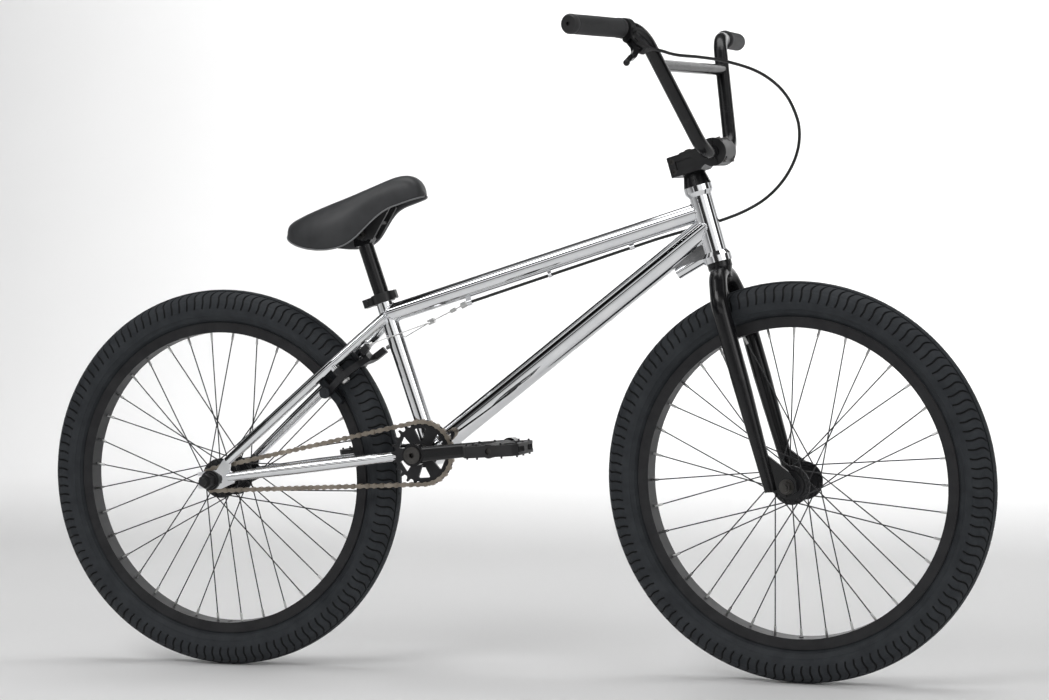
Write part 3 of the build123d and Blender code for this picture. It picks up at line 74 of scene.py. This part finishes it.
# ---------------------------------------------------------------- node helpers
class Mat:
    """A small builder for procedural node materials."""

    def __init__(self, name, **values):
        self.m = bpy.data.materials.new(name)
        self.m.use_nodes = True
        self.t = self.m.node_tree
        self.b = self.t.nodes["Principled BSDF"]
        for k, v in values.items():
            self.set(k, v)

    def set(self, key, v):
        names = {"color": "Base Color", "rough": "Roughness", "metal": "Metallic", "coat": "Coat Weight",
                 "coat_rough": "Coat Roughness", "ior": "IOR", "spec": "Specular IOR Level", "sheen": "Sheen Weight",
                 "sheen_rough": "Sheen Roughness", "aniso": "Anisotropic", "sub": "Subsurface Weight"}
        s = self.b.inputs[names[key]]
        s.default_value = (*v, 1.0) if isinstance(v, (tuple, list)) and len(v) == 3 else v

    def n(self, kind, **props):
        nd = self.t.nodes.new("ShaderNode" + kind)
        for k, v in props.items():
            if k in nd.inputs:
                nd.inputs[k].default_value = v
            else:
                setattr(nd, k, v)
        return nd

    def link(self, a, b):
        self.t.links.new(a, b)

    def coords(self, scale=(1, 1, 1)):
        c = self.n("TexCoord")
        mp = self.n("Mapping")
        mp.inputs["Scale"].default_value = scale
        self.link(c.outputs["Object"], mp.inputs["Vector"])
        return mp.outputs["Vector"]

    def noise(self, scale, detail=4.0, rough=0.55, vec=None):
        nd = self.n("TexNoise")
        nd.inputs["Scale"].default_value = scale
        nd.inputs["Detail"].default_value = detail
        nd.inputs["Roughness"].default_value = rough
        self.link(vec or self.coords(), nd.inputs["Vector"])
        return nd.outputs["Fac"]

    def ramp(self, fac, stops):
        nd = self.n("ValToRGB")
        e = nd.color_ramp.elements
        while len(e) < len(stops):
            e.new(0.5)
        for el, (p, c) in zip(e, stops):
            el.position = p
            el.color = (*c, 1.0) if len(c) == 3 else c
        self.link(fac, nd.inputs["Fac"])
        return nd.outputs["Color"]

    def grey(self, fac, lo, hi, a=0.3, b=0.7):
        nd = self.n("MapRange")
        nd.inputs["From Min"].default_value = a
        nd.inputs["From Max"].default_value = b
        nd.inputs["To Min"].default_value = lo
        nd.inputs["To Max"].default_value = hi
        self.link(fac, nd.inputs["Value"])
        return nd.outputs["Result"]

    def math(self, op, a, b=0.0):
        nd = self.n("Math", operation=op)
        for i, v in enumerate((a, b)):
            if isinstance(v, (int, float)):
                nd.inputs[i].default_value = v
            else:
                self.link(v, nd.inputs[i])
        return nd.outputs[0]

    def color(self, out):
        self.link(out, self.b.inputs["Base Color"])
        return self

    def rough(self, out):
        self.link(out, self.b.inputs["Roughness"])
        return self

    def bump(self, height, strength=0.2, distance=0.0005, prev=None):
        nd = self.n("Bump")
        nd.inputs["Strength"].default_value = strength
        nd.inputs["Distance"].default_value = distance
        self.link(height, nd.inputs["Height"])
        if prev is not None:
            self.link(prev, nd.inputs["Normal"])
        self.link(nd.outputs["Normal"], self.b.inputs["Normal"])
        return nd.outputs["Normal"]


def paint(name, lo, hi, rough_lo, rough_hi, coat=0.0, coat_rough=0.05, metal=0.0, speck=900.0, bump=0.05, spec=0.5):
    """Coloured finish with slight mottling, uneven gloss and a fine surface texture."""
    m = Mat(name, metal=metal, coat=coat, coat_rough=coat_rough, spec=spec)
    big = m.noise(38.0, 3.0)
    fine = m.noise(speck, 2.0)
    m.color(m.ramp(big, [(0.3, lo), (0.7, hi)]))
    m.rough(m.grey(m.math("ADD", m.math("MULTIPLY", big, 0.6), m.math("MULTIPLY", fine, 0.4)), rough_lo, rough_hi))
    m.bump(fine, bump, 0.0002)
    return m.m


MATS = {
    "chrome": paint("chrome_plate", (0.78, 0.79, 0.81), (0.86, 0.865, 0.875), 0.035, 0.075, metal=1.0, speck=160.0, bump=0.015),
    "gloss_black": paint("gloss_black_paint", (0.005, 0.005, 0.006), (0.009, 0.009, 0.01), 0.2, 0.3, coat=0.22, coat_rough=0.06, bump=0.03, spec=0.3),
    "satin_black": paint("satin_black_anodise", (0.013, 0.013, 0.014), (0.021, 0.021, 0.022), 0.3, 0.42, speck=2200.0, bump=0.12, spec=0.45),
    "black_alloy": paint("black_alloy", (0.022, 0.022, 0.024), (0.036, 0.036, 0.038), 0.32, 0.44, metal=0.45, speck=1800.0, bump=0.08, spec=0.4),
    "rim_alloy": paint("rim_alloy", (0.02, 0.02, 0.022), (0.032, 0.032, 0.034), 0.36, 0.48, metal=0.3, speck=1500.0, bump=0.06, spec=0.35),
    "silver": paint("zinc_steel", (0.5, 0.5, 0.5), (0.68, 0.68, 0.67), 0.22, 0.36, metal=1.0, speck=1400.0, bump=0.08),
    "dark_steel": paint("dark_steel", (0.06, 0.058, 0.055), (0.11, 0.105, 0.1), 0.3, 0.45, metal=0.85, speck=1500.0, bump=0.1),
    "spoke": paint("spoke_steel", (0.04, 0.04, 0.042), (0.07, 0.07, 0.072), 0.3, 0.4, metal=0.8, speck=1500.0, bump=0.05),
    "chain": paint("chain_steel", (0.27, 0.235, 0.195), (0.46, 0.405, 0.34), 0.28, 0.44, metal=0.85, speck=1200.0, bump=0.12),
    "rubber": paint("tyre_rubber", (0.02, 0.023, 0.027), (0.036, 0.04, 0.045), 0.58, 0.72, speck=2600.0, bump=0.22, spec=0.3),
    "grip": paint("grip_rubber", (0.03, 0.03, 0.032), (0.045, 0.045, 0.047), 0.5, 0.62, speck=2600.0, bump=0.15, spec=0.4),
    "plastic": paint("moulded_plastic", (0.014, 0.014, 0.015), (0.024, 0.024, 0.025), 0.42, 0.56, speck=3000.0, bump=0.2),
    "seat": paint("seat_cover", (0.028, 0.029, 0.031), (0.042, 0.043, 0.046), 0.42, 0.55, speck=2400.0, bump=0.18),
    "cable": paint("cable_sheath", (0.01, 0.01, 0.011), (0.017, 0.017, 0.018), 0.28, 0.4, speck=1500.0, bump=0.05),
    "bearing": paint("bearing_steel", (0.4, 0.4, 0.4), (0.55, 0.55, 0.55), 0.2, 0.3, metal=1.0, speck=900.0, bump=0.05),
}
# painted shade: the bottom of the tread grooves is darkened to near black, more where the grooves run deeper
_m = MATS["rubber"]
_t = _m.node_tree
_b = _t.nodes["Principled BSDF"]
_old = _b.inputs["Base Color"].links[0].from_socket
_a = _t.nodes.new("ShaderNodeAttribute")
_a.attribute_name = "groove_painted_shade"
_groove_shade_mix = _t.nodes.new("ShaderNodeMix")
_groove_shade_mix.data_type = "RGBA"
_t.links.new(_a.outputs["Fac"], _groove_shade_mix.inputs[0])
_t.links.new(_old, _groove_shade_mix.inputs[6])
# painted shade colour for the bottom of the tread grooves
_groove_shade_mix.inputs[7].default_value = (0.004, 0.0045, 0.005, 1.0)
_t.links.new(_groove_shade_mix.outputs[2], _b.inputs["Base Color"])
WEAR = {
    "chrome": ["head_tube", "top_tube", "down_tube", "seat_tube", "bottom_bracket_shell", "chain_stays", "seat_stays",
               "rear_dropouts", "cable_guides"],
    "gloss_black": ["fork", "handlebar", "crank_arm_right", "crank_arm_left", "seatpost", "headset_cap", "brake_lever_blade"],
    "satin_black": ["stem", "stem_faceplate", "seat_clamp", "rear_axle_set", "brake_lever_bracket"],
    "black_alloy": ["front_hub", "rear_hub", "brake_arm_right", "brake_arm_left", "sprocket", "driver"],
    "rim_alloy": ["front_rim", "rear_rim"],
    "silver": ["front_nipples", "rear_nipples", "brake_wire", "cable_hanger", "brake_pivots"],
    "dark_steel": ["crank_bolts", "crank_spindle", "pedal_axles", "front_axle_set", "seat_bolt", "stem_bolts"],
    "spoke": ["front_spokes", "rear_spokes"],
    "chain": ["chain_outer_links", "chain_inner_links"],
    "rubber": ["front_tyre", "rear_tyre", "front_inner_tube", "rear_inner_tube", "brake_pad_right", "brake_pad_left"],
    "grip": ["grips"],
    "plastic": ["pedal_right", "pedal_left", "bar_end_plugs", "seat_base"],
    "seat": ["seat_pad"],
    "cable": ["brake_housing"],
    "bearing": ["headset_bearings", "bottom_bracket_bearings"],
}
for key, names in WEAR.items():
    for nm in names:
        o = nodes[nm]
        o.data.materials.clear()
        o.data.materials.append(MATS[key])


# ---------------------------------------------------------------- shared shapes
D = Vector((-math.cos(math.radians(75)), 0.0, math.sin(math.radians(75))))
P0 = Vector((0.4613, 0.0, 0.314))
REST_TURN = Matrix.Translation(P0) @ Matrix.Rotation(math.radians(-5.0), 4, D) @ Matrix.Translation(-P0)
REAR_AXLE, FRONT_AXLE = Vector((-0.489, 0, 0.314)), Vector((0.489, 0, 0.314))


def mesh_object(name, verts, faces, mat, body, smooth=True):
    me = bpy.data.meshes.new(name)
    me.from_pydata([tuple(v) for v in verts], [], faces)
    me.update()
    bm = bmesh.new()
    bm.from_mesh(me)
    bmesh.ops.recalc_face_normals(bm, faces=bm.faces)
    bm.to_mesh(me)
    bm.free()
    for p in me.polygons:
        p.use_smooth = smooth
    me.materials.append(mat)
    o = bpy.data.objects.new(name, me)
    bpy.context.scene.collection.objects.link(o)
    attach(o, body)
    return o


def smoothstep(a, b, x):
    t = min(1.0, max(0.0, (x - a) / (b - a)))
    return t * t * (3 - 2 * t)


# ---------------------------------------------------------------- tyres
def tyre(name, axle, matrix, body, node):
    """Ring with real tread: two circumferential grooves, curved cross grooves, a smooth sidewall and a bead."""
    n_pitch = 126
    local = [(0.0, 0.0), (0.05, 1.0), (0.19, 1.0), (0.24, 0.0), (0.43, 0.0), (0.62, 0.0), (0.81, 0.0)]
    R0, RS = 0.2854, 0.0286
    phis = []
    # section angles, closer together where the grooves are
    fine = [0, 5, 10, 15, 19.5, 21, 22.6, 24.6, 26.2, 28, 32, 37, 42, 47, 52, 56, 57.5, 59, 60.5, 62, 66, 71, 76, 81, 86, 90,
            93, 94.5, 96, 97.5, 100, 104, 110, 116, 118, 120, 124, 130, 134, 136, 138, 142, 147, 151]
    phis = [-p for p in reversed(fine[1:])] + fine
    verts, cols, groove_shade = [], [], []
    pitch = 2 * math.pi / n_pitch
    for p in phis:
        a = abs(p)
        # how deep the cross grooves run at this point of the section, in mm
        if a < 19.5:
            cross = 0.55 * smoothstep(4, 9, a)
        elif a < 27:
            cross = 0.0
        else:
            cross = 1.7 * smoothstep(26.5, 29, a) * (1 - smoothstep(92.5, 96, a))
        ring = 0.0
        if 20.5 < a < 25.5:
            ring = 1.9
        if 57.2 < a < 60.8:
            ring = 0.25
        if 94.2 < a < 97.8:
            ring = 0.5
        if a > 97.8:
            ring = 0.55
        if 117 < a < 119:
            ring = 0.1
        if 135 < a < 137:
            ring = 0.15
        # the cross grooves sweep forward towards the middle
        t = min(1.0, max(0.0, (92.0 - a) / 66.0))
        shift = -pitch * (0.62 * t * t * t + 0.12 * math.sin(t * 2 * math.pi))
        row = []
        for j in range(n_pitch):
            for off, deep in local:
                th = pitch * (j + off) + shift
                r = RS - 0.001 * max(ring, cross * deep)
                ph = math.radians(p)
                rad = R0 + r * math.cos(ph)
                row.append(len(verts))
                # painted shade mask: 0 on the tread surface, rising towards 1 at the bottom of the deeper grooves
                groove_shade.append(min(1.0, max(ring if ring > 0.6 else 0.0, cross * deep) / 1.4))
                verts.append(Vector((axle.x + rad * math.cos(th), r * math.sin(ph), axle.z + rad * math.sin(th))))
        cols.append(row)
    n = n_pitch * len(local)
    # bead and the inside of the casing
    inner = [(0.01385, 0.2575), (0.01345, 0.2545), (0.0118, 0.2545), (0.0114, 0.2592)]
    prof = [(y, r) for y, r in inner]
    for k in range(0, 31):
        ph = math.radians(152 - 304 * k / 30)
        prof.append((0.0252 * math.sin(ph), R0 + 0.0252 * math.cos(ph)))
    prof += [(-y, r) for y, r in reversed(inner)]
    for y, rad in prof:
        row = []
        for i in range(n):
            j, k = divmod(i, len(local))
            th = pitch * (j + local[k][0])
            row.append(len(verts))
            verts.append(Vector((axle.x + rad * math.cos(th), y, axle.z + rad * math.sin(th))))
        cols.append(row)
    faces = []
    m = len(cols)
    for a in range(m):
        ra, rb = cols[a], cols[(a + 1) % m]
        for i in range(n):
            k = (i + 1) % n
            faces.append((ra[i], ra[k], rb[k], rb[i]))
    if matrix is not None:
        verts = [matrix @ v for v in verts]
    o = mesh_object(name, verts, faces, MATS["rubber"], body)
    o.data.set_sharp_from_angle(angle=math.radians(38))
    # per-vertex groove depth that drives the rubber's painted shade
    at = o.data.attributes.new("groove_painted_shade", "FLOAT", "POINT")
    at.data.foreach_set("value", groove_shade + [0.0] * (len(o.data.vertices) - len(groove_shade)))
    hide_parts(node)
    return o


tyre("tyre_front_tread", FRONT_AXLE, REST_TURN, "front_wheel", "front_tyre")
tyre("tyre_rear_tread", REAR_AXLE, None, "rear_wheel", "rear_tyre")


# ---------------------------------------------------------------- seat
def interp(table, x):
    for (x0, v0), (x1, v1) in zip(table, table[1:]):
        if x0 <= x <= x1:
            f = (x - x0) / (x1 - x0)
            return v0 + (v1 - v0) * f
    return table[0][1] if x < table[0][0] else table[-1][1]


RIDGE = [(-359.6, 722.0), (-357.5, 729.5), (-352, 735.5), (-342.2, 741.0), (-320, 750.5), (-296, 759.8), (-268, 769.8), (-241, 779.3),
         (-214, 789.8), (-190, 799.3), (-172, 805.8), (-160, 808.4), (-149, 808.8), (-138.1, 806.0), (-129, 799.0), (-123, 789.5),
         (-119.6, 777.0)]
WIDTH = [(-359.6, 3), (-358.4, 14), (-355, 25), (-349, 37), (-340, 47.5), (-328, 57), (-312, 64.5), (-294, 68.8), (-274, 70),
         (-256, 68.8), (-241, 65.5), (-227, 60), (-214, 52.5), (-203, 45.5), (-193, 39.5), (-182, 34.8), (-170, 31.8), (-156, 30.2),
         (-143, 29), (-134, 27), (-127, 22.5), (-122.5, 15), (-119.6, 3)]
SKIRT = [(-359.6, 719.0), (-357, 715.5), (-349, 709.8), (-336, 703.8), (-321, 698.6), (-304, 694.6), (-286, 692.4), (-268, 692.2), (-252, 694.4),
         (-240, 698.2), (-229, 704.5), (-219, 713.6), (-209.5, 724.6), (-200, 735.4), (-190, 745.6), (-180, 753.2), (-168, 759.2),
         (-152, 764.2), (-138, 768.6), (-127, 772.0), (-119.6, 775.0)]


def smooth_table(tab, x, w=4.0):
    s, tot = 0.0, 0.0
    for k in range(-4, 5):
        g = math.exp(-(k / 2.2) ** 2)
        xx = min(max(x + k * w / 4, tab[0][0]), tab[-1][0])
        s += g * interp(tab, xx)
        tot += g
    return s / tot


def seat_section(x, t):
    """Point of the upper surface: t from -1 (right edge) over the crown at 0 to 1 (left edge)."""
    w, top, low = smooth_table(WIDTH, x), smooth_table(RIDGE, x), smooth_table(SKIRT, x)
    a = abs(t) * math.pi / 2
    # fuller than a circle across the crown, nearly upright at the edge
    y = w * math.sin(a) ** 0.80
    z = low + (top - low) * math.cos(a) ** 0.68
    return Vector((x, math.copysign(y, t) if t else 0.0, z)) * 0.001


def seat():
    xs = []
    N = 56
    for i in range(N + 1):
        c = 0.5 - 0.5 * math.cos(math.pi * i / N)
        xs.append(-359.4 + (359.4 - 119.8) * c)
    M = 40
    rows, verts, faces = [], [], []
    for x in xs:
        row = []
        for j in range(M + 1):
            t = -1 + 2 * j / M
            row.append(len(verts))
            verts.append(seat_section(x, t))
        # turned-under lip and the hidden underside
        w, top, low = smooth_table(WIDTH, x), smooth_table(RIDGE, x), smooth_table(SKIRT, x)
        roof = max(low + 3.0, top - 23.0)
        lip = min(7.5, w * 0.45)

        def under(y, gap):
            # height below the cover at this distance from the middle
            k = (y / w) ** (1 / 0.80)
            return max(low + 1.8, min(roof, low + (top - low) * math.cos(math.asin(min(1.0, k))) ** 0.68 - gap))

        zc, zm = under(w - lip, 7.0), under(w * 0.6, 12.0)
        for y, z in ((w - lip * 0.25, low - 1.6), (w - lip * 0.75, low - 1.2), (w - lip, low + 1.5), (w - lip, zc), (w * 0.6, zm),
                     (0.0, roof), (-w * 0.6, zm), (-(w - lip), zc), (-(w - lip), low + 1.5), (-(w - lip * 0.75), low - 1.2),
                     (-(w - lip * 0.25), low - 1.6)):
            row.append(len(verts))
            verts.append(Vector((x, y, z)) * 0.001)
        rows.append(row)
    n = len(rows[0])
    for a, b in zip(rows, rows[1:]):
        for i in range(n):
            k = (i + 1) % n
            faces.append((a[i], a[k], b[k], b[i]))
    faces.append(tuple(rows[0]))
    faces.append(tuple(reversed(rows[-1])))
    o = mesh_object("seat_cover", verts, faces, MATS["seat"], "seat")
    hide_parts("seat_pad")
    sub = o.modifiers.new("smooth", "SUBSURF")
    sub.levels = 1
    sub.render_levels = 1
    # lip along the cover's lower edge
    for side, nm in ((-1, "right"), (1, "left")):
        vs, fs = [], []
        path = [seat_section(x, side) + Vector((0, side * 0.0002, -0.0011)) for x in xs[1:-1]]
        ring = 8
        for i, p in enumerate(path):
            q0, q1 = path[max(0, i - 1)], path[min(len(path) - 1, i + 1)]
            d = (q1 - q0).normalized()
            e1 = d.cross(Vector((0, 0, 1))).normalized()
            e2 = d.cross(e1)
            for k in range(ring):
                an = 2 * math.pi * k / ring
                vs.append(p + e1 * 0.0013 * math.cos(an) + e2 * 0.0013 * math.sin(an))
        for i in range(len(path) - 1):
            for k in range(ring):
                l = (k + 1) % ring
                fs.append((i * ring + k, i * ring + l, (i + 1) * ring + l, (i + 1) * ring + k))
        fs.append(tuple(range(ring)))
        fs.append(tuple(reversed(range((len(path) - 1) * ring, len(path) * ring))))
        mesh_object("seat_lip_" + nm, vs, fs, MATS["lip"], "seat")
    return o


MATS["lip"] = paint("seat_lip", (0.16, 0.165, 0.17), (0.2, 0.205, 0.21), 0.35, 0.5, speck=2000.0, bump=0.08)
seat()


# ---------------------------------------------------------------- grips
def lathe(a, d, prof, seg=96):
    """Closed ring of (distance along d, radius) points turned about the line through a."""
    e1 = d.cross(Vector((0, 0, 1))).normalized()
    e2 = d.cross(e1).normalized()
    verts, faces = [], []
    for t, r in prof:
        for k in range(seg):
            an = 2 * math.pi * k / seg
            verts.append(a + d * t + (e1 * math.cos(an) + e2 * math.sin(an)) * r)
    m = len(prof)
    for i in range(m):
        for k in range(seg):
            l = (k + 1) % seg
            j = (i + 1) % m
            faces.append((i * seg + k, i * seg + l, j * seg + l, j * seg + k))
    return verts, faces


def bar_line(side):
    beta, back, ups = map(math.radians, (16.45, 10.1, 3.9))
    ub = Vector((-math.sin(beta), 0, math.cos(beta)))
    nb = Vector((math.cos(beta), 0, math.sin(beta)))
    n = Vector((math.sin(math.radians(75)), 0, math.cos(math.radians(75))))
    cc = P0 + D * 0.5227 + n * 0.0468
    out = 0.367 - 0.176
    b = cc + ub * 0.1928 + Vector((0, side * 0.176, 0))
    e = b + Vector((0, side * out, 0)) - nb * (out * math.tan(back)) + ub * (out * math.tan(ups))
    return REST_TURN @ b, REST_TURN @ e


def grips():
    vs, fs = [], []
    for side in (-1, 1):
        b, e = bar_line(side)
        d = (b - e).normalized()          # inboard from the bar's end
        L = 0.138
        prof = [(-0.0004, 0.01115), (-0.0004, 0.0138), (0.0006, 0.0148), (0.0062, 0.0148), (0.0072, 0.0141), (0.0082, 0.0141), (0.0092, 0.0146)]
        t = 0.0100
        while t < L - 0.0125:
            u = (t - 0.01) / (L - 0.0225)
            base = 0.01425 + 0.0002 * math.sin(u * math.pi)
            prof += [(t, base), (t + 0.0008, base + 0.00028), (t + 0.0016, base + 0.00028), (t + 0.0024, base)]
            t += 0.0031
        prof += [(L - 0.0102, 0.0142), (L - 0.0085, 0.0151), (L - 0.0035, 0.0152), (L - 0.0015, 0.0146), (L, 0.0128), (L, 0.01115)]
        v, f = lathe(e, d, prof)
        k = len(vs)
        vs += v
        fs += [tuple(i + k for i in q) for q in f]
    o = mesh_object("grip_sleeves", vs, fs, MATS["grip"], "steering")
    o.data.set_sharp_from_angle(angle=math.radians(50))
    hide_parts("grips")


grips()


# ---------------------------------------------------------------- brake housing
ROUTE = [(321.4, -203.2, 981.0), (328.4, -178.2, 981.2), (350.0, -165.0, 972.5), (375.3, -115.0, 972.0), (403.4, -55.0, 967.5),
         (442.3, -5.0, 952.7), (473.7, 22.0, 922.7), (489.4, 35.0, 885.0), (493.0, 40.0, 856.0), (486.7, 42.5, 822.0),
         (466.6, 43.0, 785.8), (436.9, 42.0, 756.3), (402.0, 38.0, 737.0), (366.0, 31.5, 724.0), (330.0, 21.0, 714.0),
         (293.0, 8.5, 704.0), (252.2, 0.0, 692.3), (-45.8, 0.0, 601.8)]


def housing():
    cu = bpy.data.curves.new("housing_line", "CURVE")
    cu.dimensions = "3D"
    cu.resolution_u = 12
    sp = cu.splines.new("NURBS")
    sp.points.add(len(ROUTE) - 1)
    for p, c in zip(sp.points, ROUTE):
        p.co = (c[0] * 0.001, c[1] * 0.001, c[2] * 0.001, 1.0)
    sp.order_u = 3
    sp.use_endpoint_u = True
    cu.bevel_depth = 0.0025
    cu.bevel_resolution = 4
    cu.use_fill_caps = True
    tmp = bpy.data.objects.new("housing_tmp", cu)
    bpy.context.scene.collection.objects.link(tmp)
    bpy.context.view_layer.update()
    me = bpy.data.meshes.new_from_object(tmp.evaluated_get(bpy.context.evaluated_depsgraph_get()))
    bpy.data.objects.remove(tmp)
    me.name = "cable_sheath"
    for p in me.polygons:
        p.use_smooth = True
    me.materials.clear()
    me.materials.append(MATS["cable"])
    o = bpy.data.objects.new("cable_sheath", me)
    bpy.context.scene.collection.objects.link(o)
    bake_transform(o)
    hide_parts("brake_housing")


housing()

# ---------------------------------------------------------------- weld beads
def dist_to_axis(p, a, d):
    w = p - a
    return (w - d * w.dot(d)).length


def weld(name, far, near, r, oa, od, R, bead=0.0017, dimes=None):
    """Rippled bead where a tube (far -> near, radius r) meets another (point oa, direction od, radius R)."""
    d = (near - far).normalized()
    od = od.normalized()
    e1 = d.cross(Vector((0, 1, 0)))
    if e1.length < 0.2:
        e1 = d.cross(Vector((0, 0, 1)))
    e1.normalize()
    e2 = d.cross(e1)
    L = (near - far).length + 0.06
    n = 160
    dimes = dimes or int(2 * math.pi * r / 0.0034)
    pts = []
    for i in range(n):
        an = 2 * math.pi * i / n
        off = (e1 * math.cos(an) + e2 * math.sin(an)) * r
        best, bt = 1e9, L
        hit = None
        steps = 260
        for k in range(steps):
            t = L - 0.14 + 0.14 * k / steps
            q = far + d * t + off
            dd = dist_to_axis(q, oa, od)
            if dd < best:
                best, bt = dd, t
            if dd <= R:
                hit = t
                break
        pts.append(far + d * (hit if hit is not None else bt) + off)
    verts, faces = [], []
    ring = 8
    for i, p in enumerate(pts):
        tn = (pts[(i + 1) % n] - pts[i - 1]).normalized()
        c = tn.cross(d).normalized()
        c2 = tn.cross(c)
        b = bead * (0.86 + 0.2 * abs(math.sin(math.pi * dimes * i / n)))
        for k in range(ring):
            an = 2 * math.pi * k / ring
            verts.append(p + (c * math.cos(an) + c2 * math.sin(an)) * b)
    for i in range(n):
        j = (i + 1) % n
        for k in range(ring):
            l = (k + 1) % ring
            faces.append((i * ring + k, i * ring + l, j * ring + l, j * ring + k))
    return mesh_object(name, verts, faces, MATS["chrome"], "frame")


V = lambda *c: Vector(c) * 0.001
BB = V(-118.0, 0, 360.3)
SEAT_DIR = Vector((-0.3249, 0, 1.0)).normalized()
SEAT_PT = V(-117.4, 0, 360.3)
Y = Vector((0, 1, 0))
weld("weld_top_head", V(-196, 0, 581.35), V(345, 0, 740.05), 0.015, P0, D, 0.0182)
weld("weld_down_head", V(-117.4, 0, 360.3), V(353.8, 0, 715.2), 0.0186, P0, D, 0.0182)
weld("weld_top_seat", V(345, 0, 740.05), V(-196, 0, 581.35), 0.015, SEAT_PT, SEAT_DIR, 0.0143)
weld("weld_down_shell", V(353.8, 0, 715.2), V(-117.4, 0, 360.3), 0.0186, BB, Y, 0.0242)
weld("weld_seat_shell", SEAT_PT + SEAT_DIR * 0.25, SEAT_PT, 0.0143, BB, Y, 0.0242)


# ---------------------------------------------------------------- studio
def studio():
    sc = bpy.context.scene
    world = bpy.data.worlds.new("studio")
    sc.world = world
    world.use_nodes = True
    t = world.node_tree
    bg = t.nodes["Background"]
    tc = t.nodes.new("ShaderNodeTexCoord")
    sep = t.nodes.new("ShaderNodeSeparateXYZ")
    ramp = t.nodes.new("ShaderNodeValToRGB")
    t.links.new(tc.outputs["Generated"], sep.inputs[0])
    mr = t.nodes.new("ShaderNodeMapRange")
    mr.inputs["From Min"].default_value = -1.0
    mr.inputs["From Max"].default_value = 1.0
    t.links.new(sep.outputs["Z"], mr.inputs["Value"])
    t.links.new(mr.outputs["Result"], ramp.inputs["Fac"])
    stops = [(0.0, 0.8), (0.485, 0.8), (0.495, 0.03), (0.555, 0.03), (0.575, 0.95), (0.66, 0.95), (0.685, 0.05), (0.755, 0.05),
             (0.79, 0.8), (1.0, 0.85)]
    e = ramp.color_ramp.elements
    while len(e) < len(stops):
        e.new(0.5)
    for el, (p, v) in zip(e, stops):
        el.position = p
        el.color = (v, v, v, 1.0)
    # dark flats at both sides of the room, a light one in front
    dot = t.nodes.new("ShaderNodeVectorMath")
    dot.operation = "DOT_PRODUCT"
    dot.inputs[1].default_value = (0.3248, -0.9458, 0.0)
    t.links.new(tc.outputs["Generated"], dot.inputs[0])
    m2 = t.nodes.new("ShaderNodeMapRange")
    m2.inputs["From Min"].default_value = -1.0
    m2.inputs["From Max"].default_value = 1.0
    t.links.new(dot.outputs["Value"], m2.inputs["Value"])
    side = t.nodes.new("ShaderNodeValToRGB")
    t.links.new(m2.outputs["Result"], side.inputs["Fac"])
    flats = [(0.0, 0.12), (0.40, 0.12), (0.45, 1.0), (0.52, 1.0), (0.56, 0.05), (0.80, 0.05), (0.86, 1.0), (1.0, 1.0)]
    e = side.color_ramp.elements
    while len(e) < len(flats):
        e.new(0.5)
    for el, (p, v) in zip(e, flats):
        el.position = p
        el.color = (v, v, v, 1.0)
    mul = t.nodes.new("ShaderNodeMix")
    mul.data_type = "RGBA"
    mul.blend_type = "MULTIPLY"
    mul.inputs[0].default_value = 1.0
    t.links.new(ramp.outputs["Color"], mul.inputs[6])
    t.links.new(side.outputs["Color"], mul.inputs[7])
    t.links.new(mul.outputs[2], bg.inputs["Color"])
    bg.inputs["Strength"].default_value = 1.0

    # pale floor that curves up behind the bike
    pts = [(-9.0, 0.0)]
    for i in range(0, 17):
        a = math.pi / 2 * i / 16
        pts.append((3.6 + 2.2 * math.sin(a), 2.2 - 2.2 * math.cos(a)))
    pts.append((5.8, 3.4))
    bm = bmesh.new()
    rows = [[bm.verts.new((x, y, z)) for x in (-11.0, 11.0)] for y, z in pts]
    for a, b in zip(rows, rows[1:]):
        bm.faces.new((a[0], a[1], b[1], b[0]))
    me = bpy.data.meshes.new("floor")
    bm.to_mesh(me)
    bm.free()
    for p in me.polygons:
        p.use_smooth = True
    fl = bpy.data.objects.new("floor", me)
    bpy.context.scene.collection.objects.link(fl)
    m = Mat("floor_paint", rough=0.6, spec=0.2)
    m.color(m.ramp(m.noise(0.6, 2.0), [(0.3, (0.86, 0.86, 0.86)), (0.7, (0.9, 0.9, 0.9))]))
    me.materials.append(m.m)

    def area(name, loc, target, size, power, sy=None):
        li = bpy.data.lights.new(name, "AREA")
        li.shape = "RECTANGLE"
        li.size = size
        li.size_y = sy or size
        li.energy = power
        ob = bpy.data.objects.new(name, li)
        ob.location = loc
        d = Vector(target) - Vector(loc)
        ob.rotation_euler = d.to_track_quat("-Z", "Y").to_euler()
        sc.collection.objects.link(ob)
        return ob

    area("key", (-1.6, -3.4, 4.2), (0, 0, 0.5), 3.2, 85.0, 2.0)
    area("fill", (4.2, -2.2, 2.6), (0.2, 0, 0.5), 2.4, 30.0)
    area("top", (0.0, 0.6, 4.8), (0, 0, 0.4), 4.5, 80.0, 2.5)
    area("back", (0.0, 3.0, 3.4), (0.0, 5.8, 2.2), 6.0, 190.0, 2.0)


studio()

bpy.context.scene.view_settings.view_transform = "Standard"
